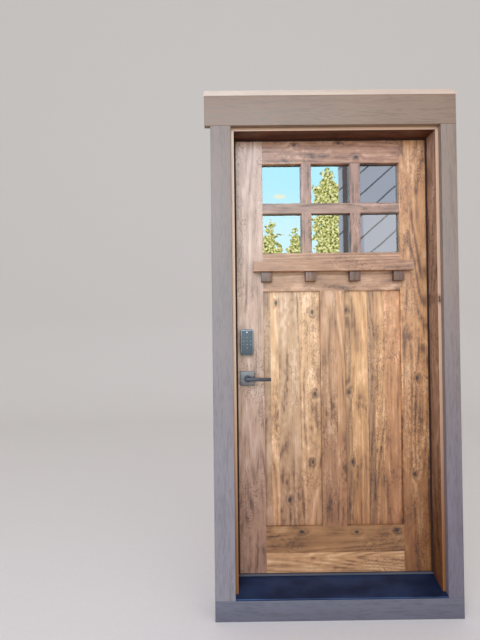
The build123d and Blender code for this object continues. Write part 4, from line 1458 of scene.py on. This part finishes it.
@dataclass
class IndoorLock(Assembly):
    """The indoor housing with its battery cover, and the thumb turn."""

    size: tuple[float, float] = (68.0, 152.0)
    level: float = 1120.4
    thick: float = 27.0
    corner: float = 10.0
    rim: float = 1.5
    cover_bottom: float = 1110.4
    border: float = 3.0
    cover_thick: float = 4.5
    cover_rim: float = 1.6
    lift: float = 0.5
    turn: Triple = (38.0, 11.0, 17.0)
    turn_edge: float = 2.4
    flange: float = 15.0
    flange_thick: float = 3.5
    flange_rim: float = 1.0
    shaft: float = 6.0
    fit: float = 0.3
    tail: tuple[float, float] = (7.0, 2.2)
    tail_start: float = 103.2
    # fine moulded dimples turn the gloss of the acrylic to a soft sheen
    plastic: Moulded = Moulded("Moulded housing, dark bronze acrylic", "#3a3533", 0.42)
    # duller than the housing, so the cover stands out as a part of its own
    lid: Moulded = Moulded("Battery cover, moulded matt black plastic", "#26262a", 0.55)
    # the same plating as the levers, polished a little by fingers
    bronze: CoatedMetal = CoatedMetal(
        "Zinc thumb turn, dark bronze satin plating", "#4b4448", "#5a5052", 0.33
    )

    def build(self) -> None:
        """Models the housing, the cover and the thumb turn."""
        x, z = around(LOCK_X, self.size[0]), around(self.level, self.size[1])
        face = LEAF_BACK + self.thick
        depth = (LEAF_BACK, face)
        housing = soft_block("lock_housing_soft", x, depth, z, self.corner, self.rim, 1)
        middle = (LOCK_X, LEAF_BACK + self.thick / 2, DEADBOLT_Z)
        cutter = rod("shaft_hole", middle, self.shaft + self.fit, 2 * self.thick, "Y")
        housing = bored(housing, cutter)
        plastic = self.plastic.material()
        self.add(housing, plastic, Body.LEAF, "cover_plastic", "interior_lock_housing")
        x = (x[0] + self.border, x[1] - self.border)
        z = (self.cover_bottom, z[1] - self.border)
        depth = (face, face + self.cover_thick)
        corner = self.corner - self.border
        cover = soft_block("battery_cover_soft", x, depth, z, corner, self.cover_rim, 1)
        self.add(cover, self.lid.material(), Body.LEAF, "cover_plastic", "battery_cover")
        turn = self.grip(face + self.lift)
        self.add(turn, self.bronze.material(), Body.THUMBTURN, "lock_bronze", "thumbturn")

    def grip(self, start: float) -> Piece:
        """Models the thumb turn.

        Args:
            start: Where its flange begins, in millimetres indoors.

        Returns:
            The thumb turn.
        """
        long, wide, high = self.turn
        base = start + self.flange_thick
        middle = (LOCK_X, start + self.flange_thick / 2, DEADBOLT_Z)
        disc = rod("turn_flange", middle, self.flange, self.flange_thick, "Y", 64)
        round_edges(disc, lies_at(1, base), self.flange_rim, 3)
        x, z = around(LOCK_X, long), around(DEADBOLT_Z, wide)
        handle = block("turn_grip", x, (base, base + high), z)
        round_edges(handle, every_edge, self.turn_edge, 4)
        length = start - LEAF_BACK
        middle = (LOCK_X, LEAF_BACK + length / 2, DEADBOLT_Z)
        shaft = rod("turn_shaft", middle, self.shaft, length, "Y", 32)
        x, z = around(LOCK_X, self.tail[0]), around(DEADBOLT_Z, self.tail[1])
        tail = block("turn_tail", x, (self.tail_start, LEAF_BACK), z)
        return smooth(join("thumbturn_soft", [disc, handle, shaft, tail]))


@dataclass
class BoltWork(Assembly):
    """Bolts, their cases and the strike plates."""

    # brushed before plating, so faint lines run up the plates
    bronze: CoatedMetal = CoatedMetal(
        "Steel strike and face plate, bronze plating", "#453a36", "#57483f",
        lines=(400.0, 400.0, 60.0),
    )
    # bare bright plating, the only light metal of the door
    steel: CoatedMetal = CoatedMetal(
        "Steel bolt, bright nickel plating", "#a7a39c", "#b9b5ad", 0.27, metallic=1.0
    )

    def build(self) -> None:
        """Dresses the bolts and plates."""
        plates = ("latch_strike_plate", "deadbolt_strike_plate", "latch_case", "deadbolt_case")
        self.dress(self.bronze.material(), *plates)
        self.dress(self.steel.material(), "latch_bolt", "deadbolt")


@dataclass
class Studio:
    """Floor, backdrop, lights and the camera."""

    floor: float = -88.9
    colour: str = "#e4e1dc"
    sweep: tuple[float, float] = (18.0, 12.0)
    sweep_height: float = 7.0
    sweep_round: float = 1500.0
    camera_place: Triple = (-435.3, -1752.9, 1192.5)
    yaw: float = 0.2315
    pitch: float = 0.652
    roll: float = -0.652
    lens: float = 22.3785
    aim: Triple = (0.0, 0.1, 1.1)
    card_size: tuple[float, float] = (16.0, 9.0)
    card_place: Triple = (1.0, -8.0, 3.4)
    card_strength: float = 6.5
    # the middle, top, slope and half width of each tree on the card
    trees: tuple[tuple[float, float, float, float], ...] = (
        (0.39, 3.84, 0.34, 0.4),
        (1.06, 3.76, 0.3, 0.3),
        (1.86, 5.11, 0.6, 0.36),
    )
    lamps: list[Piece] = field(default_factory=list)

    def backdrop(self) -> None:
        """Sweeps the floor up into a backdrop well behind the open leaf."""
        bpy.ops.object.select_all(action="DESELECT")
        bpy.ops.mesh.primitive_plane_add(size=1.0, location=(0.0, -1.0, self.floor * MM))
        sheet = bpy.context.object
        sheet.scale = (*self.sweep, 1.0)
        settle("studio_sweep")
        back = max(vertex.co.y for vertex in sheet.data.vertices) / MM
        far = lies_at(1, back)
        edit_edges(sheet, far)
        rise = (0.0, 0.0, self.sweep_height)
        bpy.ops.mesh.extrude_region_move(TRANSFORM_OT_translate={"value": rise})
        bpy.ops.object.mode_set(mode="OBJECT")
        low = lies_at(2, self.floor)
        round_edges(sheet, lambda a, b: far(a, b) and low(a, b), self.sweep_round, 16)
        smooth(sheet, 60.0)
        shader = Shader("Seamless studio paper, warm white")
        # flecks 17 mm wide, because real paper fibre is too fine to show
        fibre = shader.add("TexNoise", shader.place, 2.0, stretch=(60.0, 60.0, 60.0))
        colour = shader.tint(linear(self.colour), fibre, (0.3, 0.7, 0.0, 0.04), "#c8c4be")
        sheet.data.materials.append(shader.finish(Base_Color=colour, Roughness=0.9))

    def lamp(
        self, name: str, place: Sequence[float], size: Span, power: float, colour: str
    ) -> None:
        """Hangs a soft light that looks at the middle of the door.

        Args:
            name: The light's name.
            place: Where it hangs, in metres.
            size: Its width and height, in metres.
            power: Its power, in watts.
            colour: Its hex colour.
        """
        light = bpy.data.lights.new(name, "AREA")
        light.shape = "RECTANGLE"
        light.size, light.size_y = size
        light.energy = power
        light.color = linear(colour)[:3]
        lamp = bpy.data.objects.new(name, light)
        lamp.location = place
        sight = Vector(self.aim) - Vector(place)
        lamp.rotation_euler = sight.to_track_quat("-Z", "Y").to_euler()
        lamp.visible_camera = False
        bpy.context.scene.collection.objects.link(lamp)
        self.lamps.append(lamp)

    def surroundings(self) -> None:
        """Hangs a card of sky and trees far in front, seen only in the glass and on gloss."""
        bpy.ops.object.select_all(action="DESELECT")
        upright = (math.pi / 2, 0.0, 0.0)
        bpy.ops.mesh.primitive_plane_add(size=1.0, location=self.card_place, rotation=upright)
        card = bpy.context.object
        card.scale = (*self.card_size, 1.0)
        settle("sky_and_trees_card")
        shader = Shader("Garden and porch seen in the glass")
        add, place = shader.add, shader.place
        axes = add("SeparateXYZ", place).node.outputs
        across, up = axes["X"], axes["Z"]
        # the trees' outlines are ragged by 200 mm, and their leaves are 60 mm wide
        ragged = shader.swing(add("TexNoise", place, 5.0, stretch=(5.0, 5.0, 8.0)), 0.85)
        leaves = add("TexNoise", place, 4.0, stretch=(17.0, 17.0, 17.0))
        greens = ((0.36, "#414b20"), (0.5, "#b2b45a"), (0.62, "#fdf7bc"))
        green = add("ValToRGB", leaves, stops=greens)
        height = add("MapRange", up, 2.9, 5.4, 0.0, 1.0)
        colour = add("ValToRGB", height, stops=((0.0, "#d2f7ff"), (1.0, "#b6f0ff")))
        for middle, top, slope, most in self.trees:
            reach = add("Math", top, up, operation="SUBTRACT")
            reach = add("Math", reach, slope, operation="MULTIPLY")
            reach = add("Math", reach, most, operation="MINIMUM")
            reach = add("Math", reach, ragged, operation="ADD")
            side = add("Math", across, middle, operation="SUBTRACT")
            side = add("Math", side, operation="ABSOLUTE")
            inside = add("Math", reach, side, operation="SUBTRACT")
            inside = add("MapRange", inside, -0.01, 0.01, 0.0, 1.0)
            below = add("MapRange", up, top - 0.02, top + 0.02, 1.0, 0.0)
            inside = add("Math", inside, below, operation="MULTIPLY")
            colour = add("Mix", inside, colour, green)
        # boards at a slant, with dark lines between them
        slanted = add("Mapping", place, None, (0.0, math.radians(40.0), 0.0))
        laps = add("TexWave", slanted, 0.75, 0.8, take="Fac", bands_direction="Z")
        boards = shader.tint(linear("#999eab"), laps, (0.0, 0.035, 0.9, 0.0), "#3a3430", "MIX")
        beyond = add("MapRange", across, 2.1, 2.14, 0.0, 1.0)
        colour = add("Mix", beyond, colour, boards)
        # one pale cloud
        drift = add("VectorMath", place, (0.63, 0.0, 4.4), operation="SUBTRACT")
        drift = add("VectorMath", drift, (6.0, 0.0, 16.0), operation="MULTIPLY")
        drift = add("VectorMath", drift, operation="LENGTH")
        colour = shader.tint(colour, drift, (0.6, 1.2, 0.8, 0.0), "#f4f3d0", "MIX")
        # a post in front of the boards
        post = add("Math", across, 2.3, operation="SUBTRACT")
        post = add("Math", post, operation="ABSOLUTE")
        colour = shader.tint(colour, post, (0.06, 0.09, 0.95, 0.0), "#4a3c34", "MIX")
        shine = add("Emission", colour, self.card_strength)
        shader.feed([(shader.tree.nodes["Material Output"].inputs["Surface"], shine)])
        card.data.materials.append(shader.material)
        card.visible_camera = False
        card.visible_diffuse = False
        card.visible_shadow = False
        card.visible_transmission = False

    def sky(self) -> None:
        """Fills the surroundings with even pale light."""
        world = bpy.context.scene.world or bpy.data.worlds.new("even_sky")
        bpy.context.scene.world = world
        world.use_nodes = True
        back = world.node_tree.nodes["Background"]
        back.inputs["Color"].default_value = linear("#ebe9ea")
        back.inputs["Strength"].default_value = 0.85

    def camera(self) -> None:
        """Sets the camera at the place and turn that were fitted to the photo."""
        yaw, pitch, roll = (math.radians(value) for value in (self.yaw, self.pitch, self.roll))
        ahead = math.cos(pitch)
        forward = Vector((math.sin(yaw) * ahead, math.cos(yaw) * ahead, math.sin(pitch)))
        level = Vector((math.cos(yaw), -math.sin(yaw), 0.0))
        upward = level.cross(forward)
        right = math.cos(roll) * level + math.sin(roll) * upward
        up = right.cross(forward)
        data = bpy.data.cameras.new("camera")
        data.lens = self.lens
        data.sensor_width = 36.0
        data.clip_end = 60.0
        camera = bpy.data.objects.new("camera", data)
        turn = Matrix((right, up, -forward)).transposed().to_4x4()
        camera.matrix_world = Matrix.Translation(Vector(self.camera_place) * MM) @ turn
        bpy.context.scene.collection.objects.link(camera)
        bpy.context.scene.camera = camera

    def build(self) -> None:
        """Sets up the whole studio at a plain light level."""
        scene = bpy.context.scene
        scene.view_settings.view_transform = "Standard"
        self.backdrop()
        self.surroundings()
        self.sky()
        self.lamp("sky_light", (-1.2, -3.0, 3.0), (2.0, 1.6), 62.0, "#dedcff")
        self.lamp("yard_light", (2.6, -3.4, 1.6), (2.6, 2.6), 16.0, "#fff3e2")
        self.camera()
        LOG.info("studio with %d lights", len(self.lamps))


def main() -> None:
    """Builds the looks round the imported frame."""
    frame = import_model()
    nodes = frame["nodes"]
    dressed = (OuterFrame, Seals, LeafWoodwork, Lites)
    fitted = (Hinges, Screws, Keypad, Handles, IndoorLock, BoltWork)
    for kind in dressed + fitted:
        kind(nodes).build()
    Studio().build()


if __name__ == "__main__":
    main()
